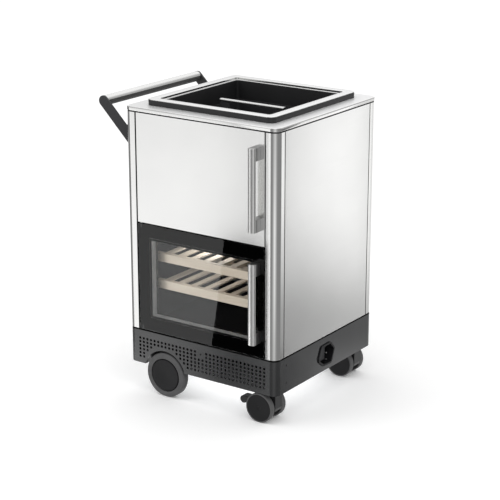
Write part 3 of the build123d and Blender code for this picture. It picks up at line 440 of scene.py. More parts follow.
def dressed(node, look=None):
    """The node's own shape with its edges rounded."""
    data = nodes[node].data.copy()
    obj = bpy.data.objects.new(node + "_dressed", data)
    scene.collection.objects.link(obj)
    bm = bmesh.new()
    bm.from_mesh(data)
    bmesh.ops.remove_doubles(bm, verts=bm.verts, dist=WELD)
    bmesh.ops.dissolve_limit(bm, angle_limit=math.radians(FLAT_BELOW), verts=bm.verts, edges=bm.edges)
    bm.to_mesh(data)
    bm.free()
    bevel(obj, *EDGES[node])
    settle(obj, body_of[node], slot_of[node], node, look=look)


def two_finishes(obj):
    """Keeps the first finish on level faces and polishes the rest."""
    obj.data.materials.append(materials["post_steel"])
    for face in obj.data.polygons:
        face.material_index = 0 if face.normal.z > LEVEL_NORMAL else 1


def arc(centre, radius, start, end, steps):
    """Points on a circle, by angle."""
    points = []
    for step in range(steps + 1):
        turn = math.radians(start + (end - start) * step / steps)
        points.append((centre[0] + radius * math.cos(turn), centre[1] + radius * math.sin(turn)))
    return points


def block(a_low, a_high, b_low, b_high):
    """The outline of a rectangle."""
    return [(a_low, b_low), (a_high, b_low), (a_high, b_high), (a_low, b_high)]


def rounded_square(half, radius, steps):
    """A rounded square round the cabinet's middle, with the same count of points at any radius."""
    points = []
    for quarter, (sx, sy) in enumerate(((1, 1), (-1, 1), (-1, -1), (1, -1))):
        centre = (CX + sx * (half - radius), CY + sy * (half - radius))
        points += arc(centre, radius, 90 * quarter, 90 * quarter + 90, steps)
    return points


def stacked(name, loops, steps, closed=True):
    """A surface through rounded squares given as (half, radius, z), closed to a ring or capped."""
    verts, faces = [], []
    for half, radius, z in loops:
        verts += [(x, y, z) for x, y in rounded_square(half, radius, steps)]
    count = 4 * (steps + 1)
    last = len(loops) - 1
    pairs = list(zip(range(last), range(1, last + 1)))
    if closed:
        pairs.append((last, 0))
    for a, b in pairs:
        for i in range(count):
            j = (i + 1) % count
            faces.append((a * count + i, a * count + j, b * count + j, b * count + i))
    if not closed:
        faces.append(tuple(range(count)))
        faces.append(tuple(last * count + i for i in range(count)))
    return mesh_object(name, verts, faces)


def softened(ring, steps):
    """A closed ring of (half, radius, z, rounding) loops with an arc at each corner that has a rounding."""
    out = []
    count = len(ring)
    for i in range(count):
        before, here, after = (Vector(ring[k % count][:3]) for k in (i - 1, i, i + 1))
        rounding = ring[i][3]
        if not rounding:
            out.append(tuple(here))
            continue
        a, b = before - here, after - here
        a_length, b_length = math.hypot(a.x, a.z), math.hypot(b.x, b.z)
        cut = min(rounding, a_length * 0.45, b_length * 0.45)
        p, q = here + a * (cut / a_length), here + b * (cut / b_length)
        for step in range(steps + 1):
            t = step / steps
            out.append(tuple(p * (1 - t) ** 2 + here * (2 * t * (1 - t)) + q * t ** 2))
    return out


def lathe(name, profile, centre, axis, steps):
    """Turns (radius, height) points round an axis through centre. A radius of 0 closes the end."""
    verts, rings = [], []
    for radius, height in profile:
        ring = []
        for step in range(1 if radius == 0 else steps):
            turn = 2 * math.pi * step / steps
            u, v = radius * math.cos(turn), radius * math.sin(turn)
            offset = (u, height, v) if axis == "Y" else (height, u, v)
            ring.append(len(verts))
            verts.append(tuple(centre[k] + offset[k] for k in range(3)))
        rings.append(ring)
    faces = []
    for a, b in zip(rings, rings[1:]):
        for i in range(steps):
            j = (i + 1) % steps
            if len(a) == 1 and len(b) == 1:
                continue
            if len(a) == 1:
                faces.append((a[0], b[i], b[j]))
            elif len(b) == 1:
                faces.append((a[i], a[j], b[0]))
            else:
                faces.append((a[i], a[j], b[j], b[i]))
    return mesh_object(name, verts, faces)


def pushed(name, outline, axis, low, high, edge=None):
    """A flat outline pushed along an axis from low to high. Edge is its rounding and segments."""
    def at(p, h):
        return {"Z": (p[0], p[1], h), "Y": (p[0], h, p[1]), "X": (h, p[0], p[1])}[axis]
    count = len(outline)
    verts = [at(p, low) for p in outline] + [at(p, high) for p in outline]
    faces = [tuple(range(count)), tuple(range(count, 2 * count))]
    faces += [(i, (i + 1) % count, count + (i + 1) % count, count + i) for i in range(count)]
    obj = mesh_object(name, verts, faces)
    if edge:
        bevel(obj, *edge)
    return obj


def joined(name, objects):
    """One object from several, keeping their meshes."""
    bm = bmesh.new()
    for obj in objects:
        bm.from_mesh(obj.data)
    data = bpy.data.meshes.new(name)
    bm.to_mesh(data)
    bm.free()
    for obj in objects:
        bpy.data.objects.remove(obj)
    result = bpy.data.objects.new(name, data)
    scene.collection.objects.link(result)
    even_normals(result)
    return result


# Panels
for node in ("side_panels", "back_panel", "upper_door_core", "upper_door_skin"):
    dressed(node)

# Corner posts: bent sheet, with a round outer corner
POST_EDGE = (0.0004, 2)
POST_ARC = 24
POST_INNER_ARC = 12
posts = []
bend = HALF - CORNER
section = [(HALF, HALF - POST_D)] + arc((bend, bend), CORNER, 0, 90, POST_ARC)
section += [(HALF - POST_W, HALF), (HALF - POST_W, HALF - POST_T)]
section += arc((bend, bend), CORNER - POST_T, 90, 0, POST_INNER_ARC) + [(HALF - POST_T, HALF - POST_D)]
for sx in (-1, 1):
    for sy in (-1, 1):
        outline = [(CX + sx * x, CY + sy * y) for x, y in section]
        posts.append(pushed("post", outline, "Z", posts_low.z, posts_high.z, POST_EDGE))
settle(joined("corner_post_set", posts), "cabinet", "steel", "corner_posts", look="post_steel")

# Worktop
OPENING = 0.21
OPENING_R = 0.012
OPENING_EDGE = 0.0002
TOP_R = CORNER + 0.0015
TOP_INSET = 0.010
TOP_LOW_EDGE = 0.0008
TOP_HIGH_EDGE = 0.004
TOP_EDGE_ARC = 5
TOP_STEPS = 16
top_low, top_high, _ = size("worktop")
top_half = top_high.x - CX
ring = [
    (OPENING, OPENING_R, top_low.z, OPENING_EDGE),
    (top_half - TOP_INSET, TOP_R - TOP_INSET, top_low.z, 0),
    (top_half, TOP_R, top_low.z, TOP_LOW_EDGE),
    (top_half, TOP_R, top_high.z, TOP_HIGH_EDGE),
    (top_half - TOP_INSET, TOP_R - TOP_INSET, top_high.z, 0),
    (OPENING, OPENING_R, top_high.z, OPENING_EDGE)]
sheet = stacked("worktop_sheet", softened(ring, TOP_EDGE_ARC), TOP_STEPS)
two_finishes(settle(sheet, "cabinet", "steel", "worktop", look="worktop_steel"))

# Raised rim and the thin steel trim on it, which folds down into the well
RIM_IN = 0.22
RIM_R = 0.022
RIM_LOW_EDGE = 0.0006
RIM_HIGH_EDGE = 0.0003
TRIM_T = 0.0015
TRIM_EDGE = 0.001
TRIM_LIP_EDGE = 0.0006
TRIM_FOLD = 0.0004
RIM_EDGE_ARC = 3
RIM_STEPS = 14
rim_low, rim_high, _ = size("top_rim")
trim_low, trim_high, _ = size("rim_trim")
rim_half = rim_high.x - CX
ring = [
    (RIM_IN, OPENING_R, rim_low.z, 0),
    (rim_half, RIM_R, rim_low.z, RIM_LOW_EDGE),
    (rim_half, RIM_R, rim_high.z, RIM_HIGH_EDGE),
    (RIM_IN, OPENING_R, rim_high.z, 0)]
collar = stacked("rim_collar", softened(ring, RIM_EDGE_ARC), RIM_STEPS)
settle(collar, "cabinet", "rim_black", "top_rim")
lip, ledge_z = RIM_IN - TRIM_T, trim_low.z + TRIM_T
ring = [
    (rim_half, RIM_R, rim_high.z, 0),
    (rim_half, RIM_R, trim_high.z, TRIM_EDGE),
    (lip, OPENING_R - TRIM_T, trim_high.z, TRIM_LIP_EDGE),
    (lip, OPENING_R - TRIM_T, ledge_z, TRIM_FOLD),
    (OPENING, OPENING_R, ledge_z, TRIM_FOLD),
    (OPENING, OPENING_R, trim_low.z, 0),
    (RIM_IN, OPENING_R, trim_low.z, 0),
    (RIM_IN, OPENING_R, rim_high.z, 0)]
trim = stacked("rim_trim_sheet", softened(ring, RIM_EDGE_ARC), RIM_STEPS)
two_finishes(settle(trim, "cabinet", "trim_steel", "rim_trim"))

# Well and lift-out bin
LEAST_R = 0.002
TUB_STEPS = 12
COVE_ARC = 5
INNER_COVE_ARC = 6
LIP_ARC = 6
WELL_WALL = 0.0025
WELL_COVE = 0.007
BIN_WALL = 0.002
BIN_COVE = 0.006
BIN_R = 0.0095
BIN_DROP = 0.064
UPRIGHT_OUT = 0.128
UPRIGHT_IN = 0.092
UPRIGHT_HALF_T = 0.0025
UPRIGHT_EDGE = (0.0006, 2)
BAR_ROUND = 0.0035
BAR_ARC = 6
BAR_EDGE = (0.0004, 2)


def tub(name, half, radius, low, high, wall, cove):
    """An open box with rounded corners, a coved floor and a rounded lip."""
    def loop(base, base_r, x, z):
        return (base + x, max(base_r + x, LEAST_R), z)
    inner, inner_r = half - wall, max(radius - wall, LEAST_R)
    lip_z = high - wall / 2
    loops = [loop(half, radius, -cove, low)]
    for x, z in arc((-cove, cove), cove, -90, 0, COVE_ARC)[1:]:
        loops.append(loop(half, radius, x, low + z))
    loops.append((half, radius, lip_z))
    for x, z in arc((-wall / 2, 0), wall / 2, 0, 180, LIP_ARC)[1:-1]:
        loops.append(loop(half, radius, x, lip_z + z))
    loops.append((inner, inner_r, lip_z))
    for x, z in arc((-cove, cove), cove, 0, -90, INNER_COVE_ARC):
        loops.append(loop(inner, inner_r, x, low + wall + z))
    return stacked(name, loops, TUB_STEPS, closed=False)


well_low, well_high, _ = size("top_well")
liner = tub("well_liner", OPENING, OPENING_R, well_low.z, well_high.z, WELL_WALL, WELL_COVE)
settle(liner, "cabinet", "well_black", "top_well")

bin_low, bin_high, _ = size("lift_out_bin")
bar_low, bar_high, bar_mid = size("bin_handle")
pieces = [tub("bin", bin_high.x - CX, BIN_R, bin_low.z, well_high.z - BIN_DROP, BIN_WALL, BIN_COVE)]
for side in (-1, 1):
    outline = block(CX + side * UPRIGHT_IN, CX + side * UPRIGHT_OUT, bin_low.z + BIN_WALL, bar_low.z)
    y_low, y_high = CY - UPRIGHT_HALF_T, CY + UPRIGHT_HALF_T
    pieces.append(pushed("bin_upright", outline, "Y", y_low, y_high, UPRIGHT_EDGE))
settle(joined("bin_tub", pieces), "lift_out_bin", "well_black", "lift_out_bin", look="bin_black")

outline = []
for quarter, (sy, sz) in enumerate(((1, 1), (-1, 1), (-1, -1), (1, -1))):
    centre = (CY + sy * (bar_high.y - CY - BAR_ROUND), bar_mid.z + sz * (bar_high.z - bar_mid.z - BAR_ROUND))
    outline += arc(centre, BAR_ROUND, 90 * quarter, 90 * quarter + 90, BAR_ARC)
bar = pushed("bin_bar", outline, "X", bar_low.x, bar_high.x, BAR_EDGE)
settle(bar, "lift_out_bin", "handle_steel", "bin_handle", look="bar_steel")

# Black strips that fill the shadow gaps: painted shade, dark sheets standing where the reveals and seams
# hold only shade
SHADOW_FILL_IN = 0.0008
SHADOW_FILL_DEEP = 0.0038
SHADOW_FILL_CLEAR = 0.0004
SEAM_FACE = 0.0005
SEAM_BACK = 0.0011
SEAM_CLEAR = 0.0001
SHADOW_FILL_STEPS = 14
skirt_low, skirt_high, _ = size("base_skirt")
for name, gap_low, gap_high in (
        ("base_seal", skirt_high.z, posts_low.z), ("worktop_seal", posts_high.z, top_low.z)):
    low_z, high_z = gap_low + SHADOW_FILL_CLEAR, gap_high - SHADOW_FILL_CLEAR
    loops = [
        (HALF - SHADOW_FILL_IN, CORNER - SHADOW_FILL_IN, low_z), (HALF - SHADOW_FILL_IN, CORNER - SHADOW_FILL_IN, high_z),
        (HALF - SHADOW_FILL_DEEP, CORNER - SHADOW_FILL_DEEP, high_z), (HALF - SHADOW_FILL_DEEP, CORNER - SHADOW_FILL_DEEP, low_z)]
    settle(stacked(name, loops, SHADOW_FILL_STEPS), "cabinet", "gasket_rubber", look="shadow_fill_black")
panel_low, panel_high, _ = size("side_panels")
seams = []
for sx in (-1, 1):
    for sy, panel_end in ((-1, panel_low.y), (1, panel_high.y)):
        x_low, x_high = sorted((CX + sx * (HALF - SEAM_BACK), CX + sx * (HALF - SEAM_FACE)))
        y_low, y_high = sorted((CY + sy * (HALF - POST_D), panel_end))
        outline = block(x_low, x_high, y_low + SEAM_CLEAR, y_high - SEAM_CLEAR)
        seams.append(pushed("seam", outline, "Z", posts_low.z, posts_high.z))
settle(joined("seam_shadow_fills", seams), "cabinet", "gasket_rubber", look="shadow_fill_black")

# Doors and their handles: a bar with a rounded nose on two square feet
NOSE_STEPS = 32
NOSE_DEEP = 0.009
BAR_DEEP = 0.012
FOOT_H = 0.041
FOOT_OVERLAP = 0.0002
HANDLE_EDGE = (0.0007, 3)
FOOT_EDGE = (0.0008, 3)
dressed("lower_door_glass")
dressed("lower_door_frame")
dressed("lower_door_spacer", look="spacer_grey")
for which in ("upper", "lower"):
    dressed(which + "_door_gasket")
    node = which + "_door_handle"
    low, high, mid = size(node)
    half = high.x - mid.x
    outline = []
    for step in range(NOSE_STEPS + 1):
        turn = math.pi * step / NOSE_STEPS
        outline.append((mid.x - half * math.cos(turn), low.y + NOSE_DEEP - NOSE_DEEP * math.sin(turn)))
    outline += [(high.x, low.y + BAR_DEEP), (low.x, low.y + BAR_DEEP)]
    bar = pushed("bar", outline, "Z", low.z, high.z, HANDLE_EDGE)
    feet = []
    for foot_z in (low.z, high.z - FOOT_H):
        outline = block(low.x, high.x, low.y + BAR_DEEP - FOOT_OVERLAP, high.y)
        feet.append(pushed("foot", outline, "Z", foot_z, foot_z + FOOT_H, FOOT_EDGE))
    settle(joined(which + "_handle_bar", [bar]), which + "_door", "handle_steel", node)
    # The feet take the darkened steel, painted shade that makes them darker than the bar
    settle(joined(which + "_handle_feet", feet), which + "_door", "handle_steel", node, look="painted_shade_foot_steel")

# Push handle: a tube whose lower part is a dark rubber grip strip, cut along a chord; the strip's darkness
# is painted reflection, standing for a dark reflection on the tube's underside
TUBE_EDGE = (0.0003, 1)
TUBE_ARC = 48
low, high, mid = size("push_bar")
grip_low, grip_high, _ = size("push_bar_grip")
tube_r = (high.z - grip_low.z) / 2
axis = (mid.x, high.z - tube_r)
chord = math.degrees(math.asin((grip_high.z - axis[1]) / tube_r))
outline = arc(axis, tube_r, chord, 180 - chord, TUBE_ARC)
tube = pushed("push_tube", outline, "Y", low.y, high.y, TUBE_EDGE)
settle(tube, "cabinet", "handle_steel", "push_bar", look="bar_steel")
outline = arc(axis, tube_r, 180 - chord, 360 + chord, TUBE_ARC)
grip = pushed("push_dark_reflection_strip", outline, "Y", low.y, high.y, TUBE_EDGE)
settle(grip, "cabinet", "grip_rubber", "push_bar_grip")
dressed("push_brackets")

# Base and power inlet
PIN_R = 0.003
PIN_ARC = 8
PIN_STEPS = 32
for node in ("base_skirt", "front_grille", "inlet_bezel", "inlet_socket"):
    dressed(node)
low, high, _ = size("inlet_contacts")
profile = [(0, low.x), (PIN_R, low.x)]
profile += arc((0, high.x - PIN_R), PIN_R, 0, 90, PIN_ARC)[:-1] + [(0, high.x)]
pins = []
for z in (low.z + PIN_R, high.z - PIN_R):
    pins.append(lathe("pin", profile, (0, low.y + PIN_R, z), "X", PIN_STEPS))
settle(joined("inlet_pin_pair", pins), "cabinet", "contact_metal", "inlet_contacts")

# Skirt screws. A head is a list of (radius, height), with a round recess in its middle
HEAD_R = 0.003
HEAD = [
    (0, 0), (HEAD_R, 0), (HEAD_R, 0.0002), (0.0027, 0.0004), (0.0022, 0.0005), (0.0016, 0.0005),
    (0.0015, 0.0001), (0, 0.0001)]
HEAD_STEPS = 36
SCREW_FROM_FRONT = 0.061
MIDDLE_SCREW_LIFT = 0.083
low, high, _ = size("skirt_screws")
heads = []
for sx in (-1, 1):
    for z in (low.z + HEAD_R, high.z - HEAD_R):
        profile = [(r, sx * h) for r, h in HEAD]
        heads.append(lathe("head", profile, (CX + sx * HALF, FRONT + SCREW_FROM_FRONT, z), "X", HEAD_STEPS))
profile = [(r, -h) for r, h in HEAD]
heads.append(lathe("head", profile, (CX, FRONT, skirt_low.z + MIDDLE_SCREW_LIFT), "Y", HEAD_STEPS))
settle(joined("skirt_screw_heads", heads), "cabinet", "screw_steel", "skirt_screws")

# Large wheels, turned from (radius, depth from the outer face)
WHEEL_STEPS = 160
TYRE_LAP = 0.0006
TYRE_SETBACK = 0.0005
BULGE_IN = 0.008
BULGE_BACK = 0.0004
SHOULDER_R = 0.005
SHOULDER_TURN = 74
SHOULDER_ARC = 8
SHOULDER_LIP = 0.0010
SHOULDER_FRONT = 0.0058
GROOVE_OFF = 0.0028
GROOVE_DEEP = 0.0008
GROOVE_HALF = 0.0007
GROOVE_FLOOR_HALF = 0.0003
HUB_DISH = [(0, 0.0012), (0.012, 0.0010), (0.030, 0.0006), (0.046, 0.0001), (0.053, 0)]
HUB_FACE_R = 0.0535
HUB_ROUND = 0.0015
HUB_ARC = 5
HUB_STEP = 0.006
HUB_EDGE = 0.0005
BOSS_R = 0.016
BOSS_FLOOR = 0.024
BORE_R = 0.0081
BORE_END = 0.0125
BORE_FLARE = 0.0001


def tread_groove(radius, depth):
    """A shallow groove round the tread, as profile points."""
    floor_r = radius - GROOVE_DEEP
    return [
        (radius, depth - GROOVE_HALF), (floor_r, depth - GROOVE_FLOOR_HALF),
        (floor_r, depth + GROOVE_FLOOR_HALF), (radius, depth + GROOVE_HALF)]


for which, inward in (("front", 1), ("rear", -1)):
    low, high, mid = size(which + "_wheel_tyre")
    _, hub_high, _ = size(which + "_wheel_hub")
    wheel_r, hub_r, width = high.z - mid.z, hub_high.z - mid.z, high.y - low.y
    shoulder = wheel_r - SHOULDER_R
    centre = (mid.x, low.y if inward > 0 else high.y, mid.z)
    profile = [(hub_r, TYRE_SETBACK), (hub_r + TYRE_LAP, 0)]
    profile += [(wheel_r - BULGE_IN, TYRE_LAP), (shoulder, SHOULDER_LIP)]
    profile += arc((shoulder, SHOULDER_FRONT), SHOULDER_R, -SHOULDER_TURN, 0, SHOULDER_ARC)
    profile += tread_groove(wheel_r, width / 2 - GROOVE_OFF) + tread_groove(wheel_r, width / 2 + GROOVE_OFF)
    profile += arc((shoulder, width - SHOULDER_R), SHOULDER_R, 0, SHOULDER_TURN, SHOULDER_ARC)
    profile += [(wheel_r - BULGE_IN, width - BULGE_BACK)]
    profile += [(hub_r + TYRE_LAP, width), (hub_r, width - TYRE_SETBACK)]
    profile = [(r, h * inward) for r, h in profile + profile[:1]]
    tyre = lathe(which + "_tyre", profile, centre, "Y", WHEEL_STEPS)
    settle(tyre, which + "_wheel", "tyre_rubber", which + "_wheel_tyre")
    profile = HUB_DISH + arc((HUB_FACE_R, HUB_ROUND), HUB_ROUND, -90, 0, HUB_ARC)
    profile += [(HUB_FACE_R + HUB_ROUND, HUB_STEP), (hub_r, HUB_STEP)]
    profile += [(hub_r, width - HUB_EDGE), (hub_r - HUB_EDGE, width)]
    profile += [(BOSS_R + HUB_EDGE, width), (BOSS_R, width - HUB_EDGE), (BOSS_R, BOSS_FLOOR)]
    profile += [(BORE_R + BORE_FLARE, BOSS_FLOOR), (BORE_R, BORE_END), (0, BORE_END)]
    hub = lathe(which + "_hub", [(r, h * inward) for r, h in profile], centre, "Y", WHEEL_STEPS)
    settle(hub, which + "_wheel", "wheel_plastic", which + "_wheel_hub")

# Casters: each wheel is a tread and a disc, turned from (radius, depth from its outer face)
CASTER_STEPS = 128
TREAD_T = 0.0045
TREAD_ROUND = 0.003
TREAD_TURN = 80
TREAD_ARC = 7
TREAD_EDGE = 0.0004
TREAD_INSET = 0.0002
TREAD_SETBACK = 0.0006
DISC_DISH = [(0, 0.0016), (0.006, 0.0015), (0.0066, 0.0009), (0.030, 0.0006), (0.0425, 0.0004)]
DISC_FACE_R = 0.0445
DISC_ROUND = 0.0010
DISC_ARC = 4
DISC_LIP = 0.0014
DISC_LAND = 0.0440
DISC_EDGE = 0.0004
SOCKET_R = 0.0155
SOCKET_EDGE = 0.0005
SOCKET_DEEP = 0.002
PIVOT_R = 0.00505
PIVOT_END = 0.006
for which in ("front", "rear"):
    dressed(which + "_caster_hood")
    dressed(which + "_caster_pedal")
    for side, inward in (("outer", 1), ("inner", -1)):
        node = which + "_caster_wheel_" + side
        low, high, mid = size(node)
        radius, width = high.z - mid.z, high.y - low.y
        rim = radius - TREAD_T
        centre = (mid.x, low.y if inward > 0 else high.y, mid.z)
        shoulder = radius - TREAD_ROUND
        profile = [(rim, TREAD_SETBACK), (rim + TREAD_EDGE, TREAD_INSET), (shoulder, TREAD_INSET)]
        profile += arc((shoulder, TREAD_ROUND), TREAD_ROUND, -TREAD_TURN, 0, TREAD_ARC)
        profile += arc((shoulder, width - TREAD_ROUND), TREAD_ROUND, 0, TREAD_TURN, TREAD_ARC)
        profile += [(rim + TREAD_EDGE, width - TREAD_INSET), (rim, width - TREAD_SETBACK)]
        profile = [(r, h * inward) for r, h in profile + profile[:1]]
        tread = lathe(which + "_caster_tread_" + side, profile, centre, "Y", CASTER_STEPS)
        settle(tread, body_of[node], "tyre_rubber", node)
        profile = DISC_DISH + arc((DISC_FACE_R, DISC_LIP), DISC_ROUND, -90, 0, DISC_ARC)
        profile += [(rim, DISC_LIP + DISC_ROUND), (rim, width - DISC_EDGE), (DISC_LAND, width)]
        profile += [(SOCKET_R + SOCKET_EDGE, width), (SOCKET_R, width - DISC_EDGE)]
        profile += [(SOCKET_R, width - SOCKET_DEEP), (PIVOT_R, width - SOCKET_DEEP)]
        profile += [(PIVOT_R, PIVOT_END), (0, PIVOT_END)]
        profile = [(r, h * inward) for r, h in profile]
        disc = lathe(which + "_caster_disc_" + side, profile, centre, "Y", CASTER_STEPS)
        settle(disc, body_of[node], "wheel_plastic", node)

# Wine shelves: a front and a back rail, and slats that end behind the front rail
RAIL_T = 0.018
RAIL_EDGE = (0.0012, 3)
SLATS = 8
SLAT_PITCH = 0.053
SLAT_HALF = 0.012
SLAT_T = 0.006
SLAT_DROP = 0.002
SLAT_EDGE = (0.0010, 3)
for which in ("lower", "upper"):
    node = which + "_wine_shelf"
    low, high, mid = size(node)
    slat_top = high.z - SLAT_DROP
    slat_low = slat_top - SLAT_T
    rails = []
    for y, top in ((low.y, high.z), (high.y - RAIL_T, slat_low)):
        rails.append(pushed("rail", block(y, y + RAIL_T, low.z, top), "X", low.x, high.x, RAIL_EDGE))
    settle(joined(which + "_shelf_rails", rails), "cabinet", "wood", node, look="rail_wood")
    slats = []
    for index in range(SLATS):
        x = mid.x + (index - (SLATS - 1) / 2) * SLAT_PITCH
        outline = block(x - SLAT_HALF, x + SLAT_HALF, slat_low, slat_top)
        slats.append(pushed("slat", outline, "Y", low.y + RAIL_T, high.y, SLAT_EDGE))
    settle(joined(which + "_shelf_slats", slats), "cabinet", "wood", node)
for node in ("shelf_runners", "cold_liner", "dry_liner"):
    dressed(node)


# Stage: a white world and floor, and the dark and pale cards that steel and glass show
AMBIENT = 0.95
FLOOR_WHITE = (0.8, 0.8, 0.8)
FLOOR_SEEN = (1.14, 1.14, 1.14)
FLOOR_HALF = 30.0


def cleared(owner):
    """The owner's node tree with nothing in it."""
    owner.use_nodes = True
    owner.node_tree.nodes.clear()
    return owner.node_tree


def pale_rays(tree):
    """1 for camera, glossy and transmission rays."""
    path = tree.nodes.new("ShaderNodeLightPath")
    total = path.outputs["Is Camera Ray"]
    for name in ("Is Glossy Ray", "Is Transmission Ray"):
        node = tree.nodes.new("ShaderNodeMath")
        node.operation = "MAXIMUM"
        link(tree, total, node.inputs[0])
        link(tree, path.outputs[name], node.inputs[1])
        total = node.outputs[0]
    return total


def white_light(tree, strength):
    node = tree.nodes.new("ShaderNodeBackground")
    node.inputs["Color"].default_value = (1, 1, 1, 1)
    node.inputs["Strength"].default_value = strength
    return node.outputs[0]


world = bpy.data.worlds.new("studio")
scene.world = world
tree = cleared(world)
out = tree.nodes.new("ShaderNodeOutputWorld")
blend = tree.nodes.new("ShaderNodeMixShader")
link(tree, pale_rays(tree), blend.inputs[0])
link(tree, white_light(tree, AMBIENT), blend.inputs[1])
link(tree, white_light(tree, 1.0), blend.inputs[2])
link(tree, blend.outputs[0], out.inputs["Surface"])

floor_mesh = bpy.data.meshes.new("floor")
corners = [(x, y, 0) for x, y in block(-FLOOR_HALF, FLOOR_HALF, -FLOOR_HALF, FLOOR_HALF)]
floor_mesh.from_pydata(corners, [], [(0, 1, 2, 3)])
floor = bpy.data.objects.new("floor", floor_mesh)
scene.collection.objects.link(floor)
floor_mat = bpy.data.materials.new("floor")
tree = cleared(floor_mat)
out = tree.nodes.new("ShaderNodeOutputMaterial")
matt = tree.nodes.new("ShaderNodeBsdfDiffuse")
path = tree.nodes.new("ShaderNodeLightPath")
link(tree, mixed(tree, path.outputs["Is Camera Ray"], FLOOR_WHITE, FLOOR_SEEN), matt.inputs["Color"])
link(tree, matt.outputs[0], out.inputs["Surface"])
floor_mesh.materials.append(floor_mat)
floor.visible_glossy = False
floor.visible_transmission = False

# Cards stand on a cylinder round the cart, and only reflections see them
CARD_R = 4.0
CARD_STEP = 3.0
CARD_FOOT = -4.0
CARD_HEAD = 6.0

card_tone = bpy.data.materials.new("card_tone")
tree = cleared(card_tone)
out = tree.nodes.new("ShaderNodeOutputMaterial")
glow = tree.nodes.new("ShaderNodeEmission")
value = tree.nodes.new("ShaderNodeAttribute")
value.attribute_name = "tone"
link(tree, value.outputs["Fac"], glow.inputs["Strength"])
link(tree, glow.outputs[0], out.inputs["Surface"])


def card(name, columns, through_glass=False):
    """A card through columns of (azimuth in degrees, [(height, brightness), ...]), which all have
    the same count of heights."""
    verts, faces, tones = [], [], []
    fine = []
    for (az_a, rows_a), (az_b, rows_b) in zip(columns, columns[1:]):
        steps = max(1, math.ceil(abs(az_b - az_a) / CARD_STEP))
        for step in range(steps):
            t = step / steps
            rows = [(za + (zb - za) * t, va + (vb - va) * t) for (za, va), (zb, vb) in zip(rows_a, rows_b)]
            fine.append((az_a + (az_b - az_a) * t, rows))
    fine.append(columns[-1])
    count = len(columns[0][1])
    for az, rows in fine:
        turn = math.radians(az)
        for z, value in rows:
            verts.append((CX + CARD_R * math.sin(turn), CY - CARD_R * math.cos(turn), z))
            tones.append(value)
    for i in range(len(fine) - 1):
        for j in range(count - 1):
            a = i * count + j
            faces.append((a, a + count, a + count + 1, a + 1))
    data = bpy.data.meshes.new(name)
    data.from_pydata(verts, [], faces)
    data.attributes.new("tone", "FLOAT", "POINT").data.foreach_set("value", tones)
    data.materials.append(card_tone)
    obj = bpy.data.objects.new(name, data)
    scene.collection.objects.link(obj)
    for flag in ("camera", "diffuse", "volume_scatter", "shadow"):
        setattr(obj, "visible_" + flag, False)
    obj.visible_transmission = through_glass


def plain(low, high, value):
    """One brightness from low to high."""
    return [(low, value), (high, value)]


# Right side panel and skirt: brightness at each height, for each azimuth
SIDE_HEIGHTS = (
    CARD_FOOT, -1.40, -1.25, -1.15, -1.03, -0.91, -0.79, -0.67, -0.555, -0.44, -0.32, -0.10, 0.04, 0.38)
SIDE_TONES = {
    134.0: (0.20, 0.20, 0.30, 0.33, 0.37, 0.44, 0.50, 0.50, 0.40, 0.22, 0.16, 0.16, 0.16, 0.16),
    139.4: (0.12, 0.12, 0.30, 0.33, 0.37, 0.44, 0.50, 0.50, 0.40, 0.22, 0.16, 0.16, 0.16, 0.16),
    139.8: (0.14, 0.14, 0.32, 0.35, 0.39, 0.48, 0.60, 0.72, 0.85, 0.96, 1.00, 1.00, 0.98, 0.95),
    141.6: (0.20, 0.20, 0.32, 0.35, 0.39, 0.48, 0.60, 0.70, 0.80, 0.90, 0.95, 0.97, 0.93, 0.88),
    142.7: (0.32, 0.32, 0.34, 0.37, 0.41, 0.52, 0.64, 0.75, 0.86, 0.94, 0.98, 1.00, 0.96, 0.91),
    144.9: (0.85, 0.85, 0.40, 0.44, 0.48, 0.60, 0.75, 0.90, 1.00, 1.06, 1.09, 1.10, 1.08, 1.03),
    147.5: (1.70, 1.70, 0.44, 0.52, 0.60, 0.76, 0.92, 1.05, 1.12, 1.16, 1.18, 1.18, 1.16, 1.12),
    147.8: (1.80, 1.80, 0.40, 0.46, 0.54, 0.60, 0.66, 0.72, 0.73, 0.73, 0.73, 0.73, 0.73, 0.73),
    158.0: (1.90, 1.90, 0.40, 0.46, 0.54, 0.60, 0.66, 0.72, 0.73, 0.73, 0.73, 0.73, 0.73, 0.73)}
# Corner posts: a base tone at each azimuth, and the share of a bright band that peaks by height
POST_HEIGHTS = (CARD_FOOT, -1.1, -0.8, -0.4, 0.05, CARD_HEAD)
POST_PEAKS = (0.50, 0.56, 0.77, 0.89, 0.66, 0.60)
POST_BANDS = {
    -24.0: (0.46, 0.0), -20.0: (0.27, 0.0), -9.0: (0.24, 0.0), 6.0: (0.26, 0.0), 14.0: (0.20, 0.25),
    24.0: (0.10, 0.60), 34.0: (0.0, 0.95), 40.0: (0.0, 1.0), 48.0: (0.05, 0.72), 58.0: (0.15, 0.35),
    68.0: (0.24, 0.05), 76.0: (0.23, 0.0), 134.0: (0.22, 0.0)}
# Push bar and worktop edges, with the same tones at each azimuth of a card
BAR_TONES = [(0.45, 0.42), (1.2, 0.44), (2.9, 0.47), (3.6, 0.66), (4.3, 0.95)]
BROW_TONES = [(0.75, 0.62), (2.4, 0.60), (4.6, 0.70)]
# Worktop: paler toward its front
BACK_TONES = [(0.9, 0.55), (1.70, 0.62), (1.80, 0.72), (1.92, 0.96), (2.1, 1.0), (3.2, 1.0)]
# Lower door: a dark wedge whose slanting edge the glass shows, as azimuth and top
LOW_FOOT = -2.4
LOW_TONE = 0.02
LOW_TOPS = {-35.3: -2.3999, -34.15: -1.75, -33.2: -1.2, -32.1: -0.535, -28.8: -0.58}
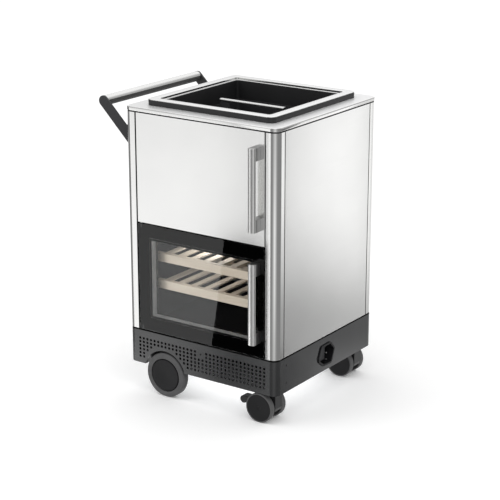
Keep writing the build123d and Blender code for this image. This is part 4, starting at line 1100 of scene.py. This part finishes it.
# Skirt front: azimuth, top and brightness
SKIRT_COLUMNS = (
    (-80.0, -1.24, 2.5), (-42.5, -1.24, 2.5), (-37.5, -1.24, 0.95), (-35.3, LOW_FOOT, 0.30),
    (-28.0, LOW_FOOT, 0.05))
# Upper door: brighter at its foot, and darker at its right end
DOOR_COLUMNS = [
    (-42.0, [(-0.40, 1.0), (-0.1, 0.95), (0.16, 0.86), (0.6, 0.86)]),
    (-34.0, [(-0.49, 1.0), (-0.1, 0.97), (0.10, 0.90), (0.6, 0.88)]),
    (-31.0, [(-0.535, 0.88), (-0.1, 0.88), (0.10, 0.86), (0.6, 0.84)]),
    (-28.8, [(-0.56, 0.50), (-0.1, 0.52), (0.10, 0.54), (0.6, 0.54)])]
LEFT_TONE = 0.22

card("card_corner", [
    (az, [(z, base + share * peak) for z, peak in zip(POST_HEIGHTS, POST_PEAKS)])
    for az, (base, share) in POST_BANDS.items()])
card("card_left", [(az, plain(CARD_FOOT, CARD_HEAD, LEFT_TONE)) for az in (-110.0, -54.0)])
card("card_panel", [(az, list(zip(SIDE_HEIGHTS, tones))) for az, tones in SIDE_TONES.items()])
card("card_bar", [(az, BAR_TONES) for az in (126.0, 172.0)])
card("card_brow", [(az, BROW_TONES) for az in (-60.0, -24.0)])
card("card_low", [(az, plain(LOW_FOOT, top, LOW_TONE)) for az, top in LOW_TOPS.items()], True)
card("card_skirt", [(az, plain(CARD_FOOT, top, value)) for az, top, value in SKIRT_COLUMNS])
card("card_door", DOOR_COLUMNS)
card("card_back", [(az, BACK_TONES) for az in (-178.0, -112.0)])

# Lamps, in metres and watts
KEY_AT = (-2.4, -2.8, 3.6)
KEY_AIM = 0.4
KEY_SIZE = 2.2
KEY_POWER = 25.0
FILL_AT = (3.2, -1.2, 2.6)
FILL_AIM = 0.5
FILL_SIZE = 2.6
FILL_POWER = 12.0
UNDER_DROP = 0.006
UNDER_SIZE = 0.44
UNDER_POWER = 0.5
COOLER_GAP = 0.012
COOLER_SIZE = 0.36
COOLER_POWER = 0.30
STRIP_LEFT = 0.05
STRIP_BACK = 0.17
STRIP_DROP = 0.03
STRIP_LEAN = 0.03
STRIP_SIZE = 0.12
STRIP_POWER = 0.40


def lamp(name, at, target, width, power, through_glass=True):
    """A square lamp that neither the camera nor reflections see."""
    data = bpy.data.lights.new(name, "AREA")
    data.shape = "SQUARE"
    data.size = width
    data.energy = power
    obj = bpy.data.objects.new(name, data)
    obj.location = at
    obj.rotation_euler = (Vector(target) - Vector(at)).to_track_quat("-Z", "Y").to_euler()
    obj.visible_glossy = False
    obj.visible_camera = False
    obj.visible_transmission = through_glass
    scene.collection.objects.link(obj)


lamp("key", KEY_AT, (CX, CY, KEY_AIM), KEY_SIZE, KEY_POWER)
lamp("fill", FILL_AT, (CX, CY, FILL_AIM), FILL_SIZE, FILL_POWER)
lamp("under", (CX, CY, skirt_low.z - UNDER_DROP), (CX, CY, 0.0), UNDER_SIZE, UNDER_POWER, False)
_, pane_high, pane_mid = size("lower_door_inner_glass")
behind = (pane_mid.x, pane_high.y + COOLER_GAP, pane_mid.z)
lamp("cooler_light", behind, (pane_mid.x, pane_high.y + 1.0, pane_mid.z), COOLER_SIZE, COOLER_POWER, False)
_, liner_high, _ = size("cold_liner")
above = (CX - STRIP_LEFT, FRONT + STRIP_BACK, liner_high.z - STRIP_DROP)
lamp("cooler_strip", above, (above[0], above[1] + STRIP_LEAN, 0.0), STRIP_SIZE, STRIP_POWER, False)
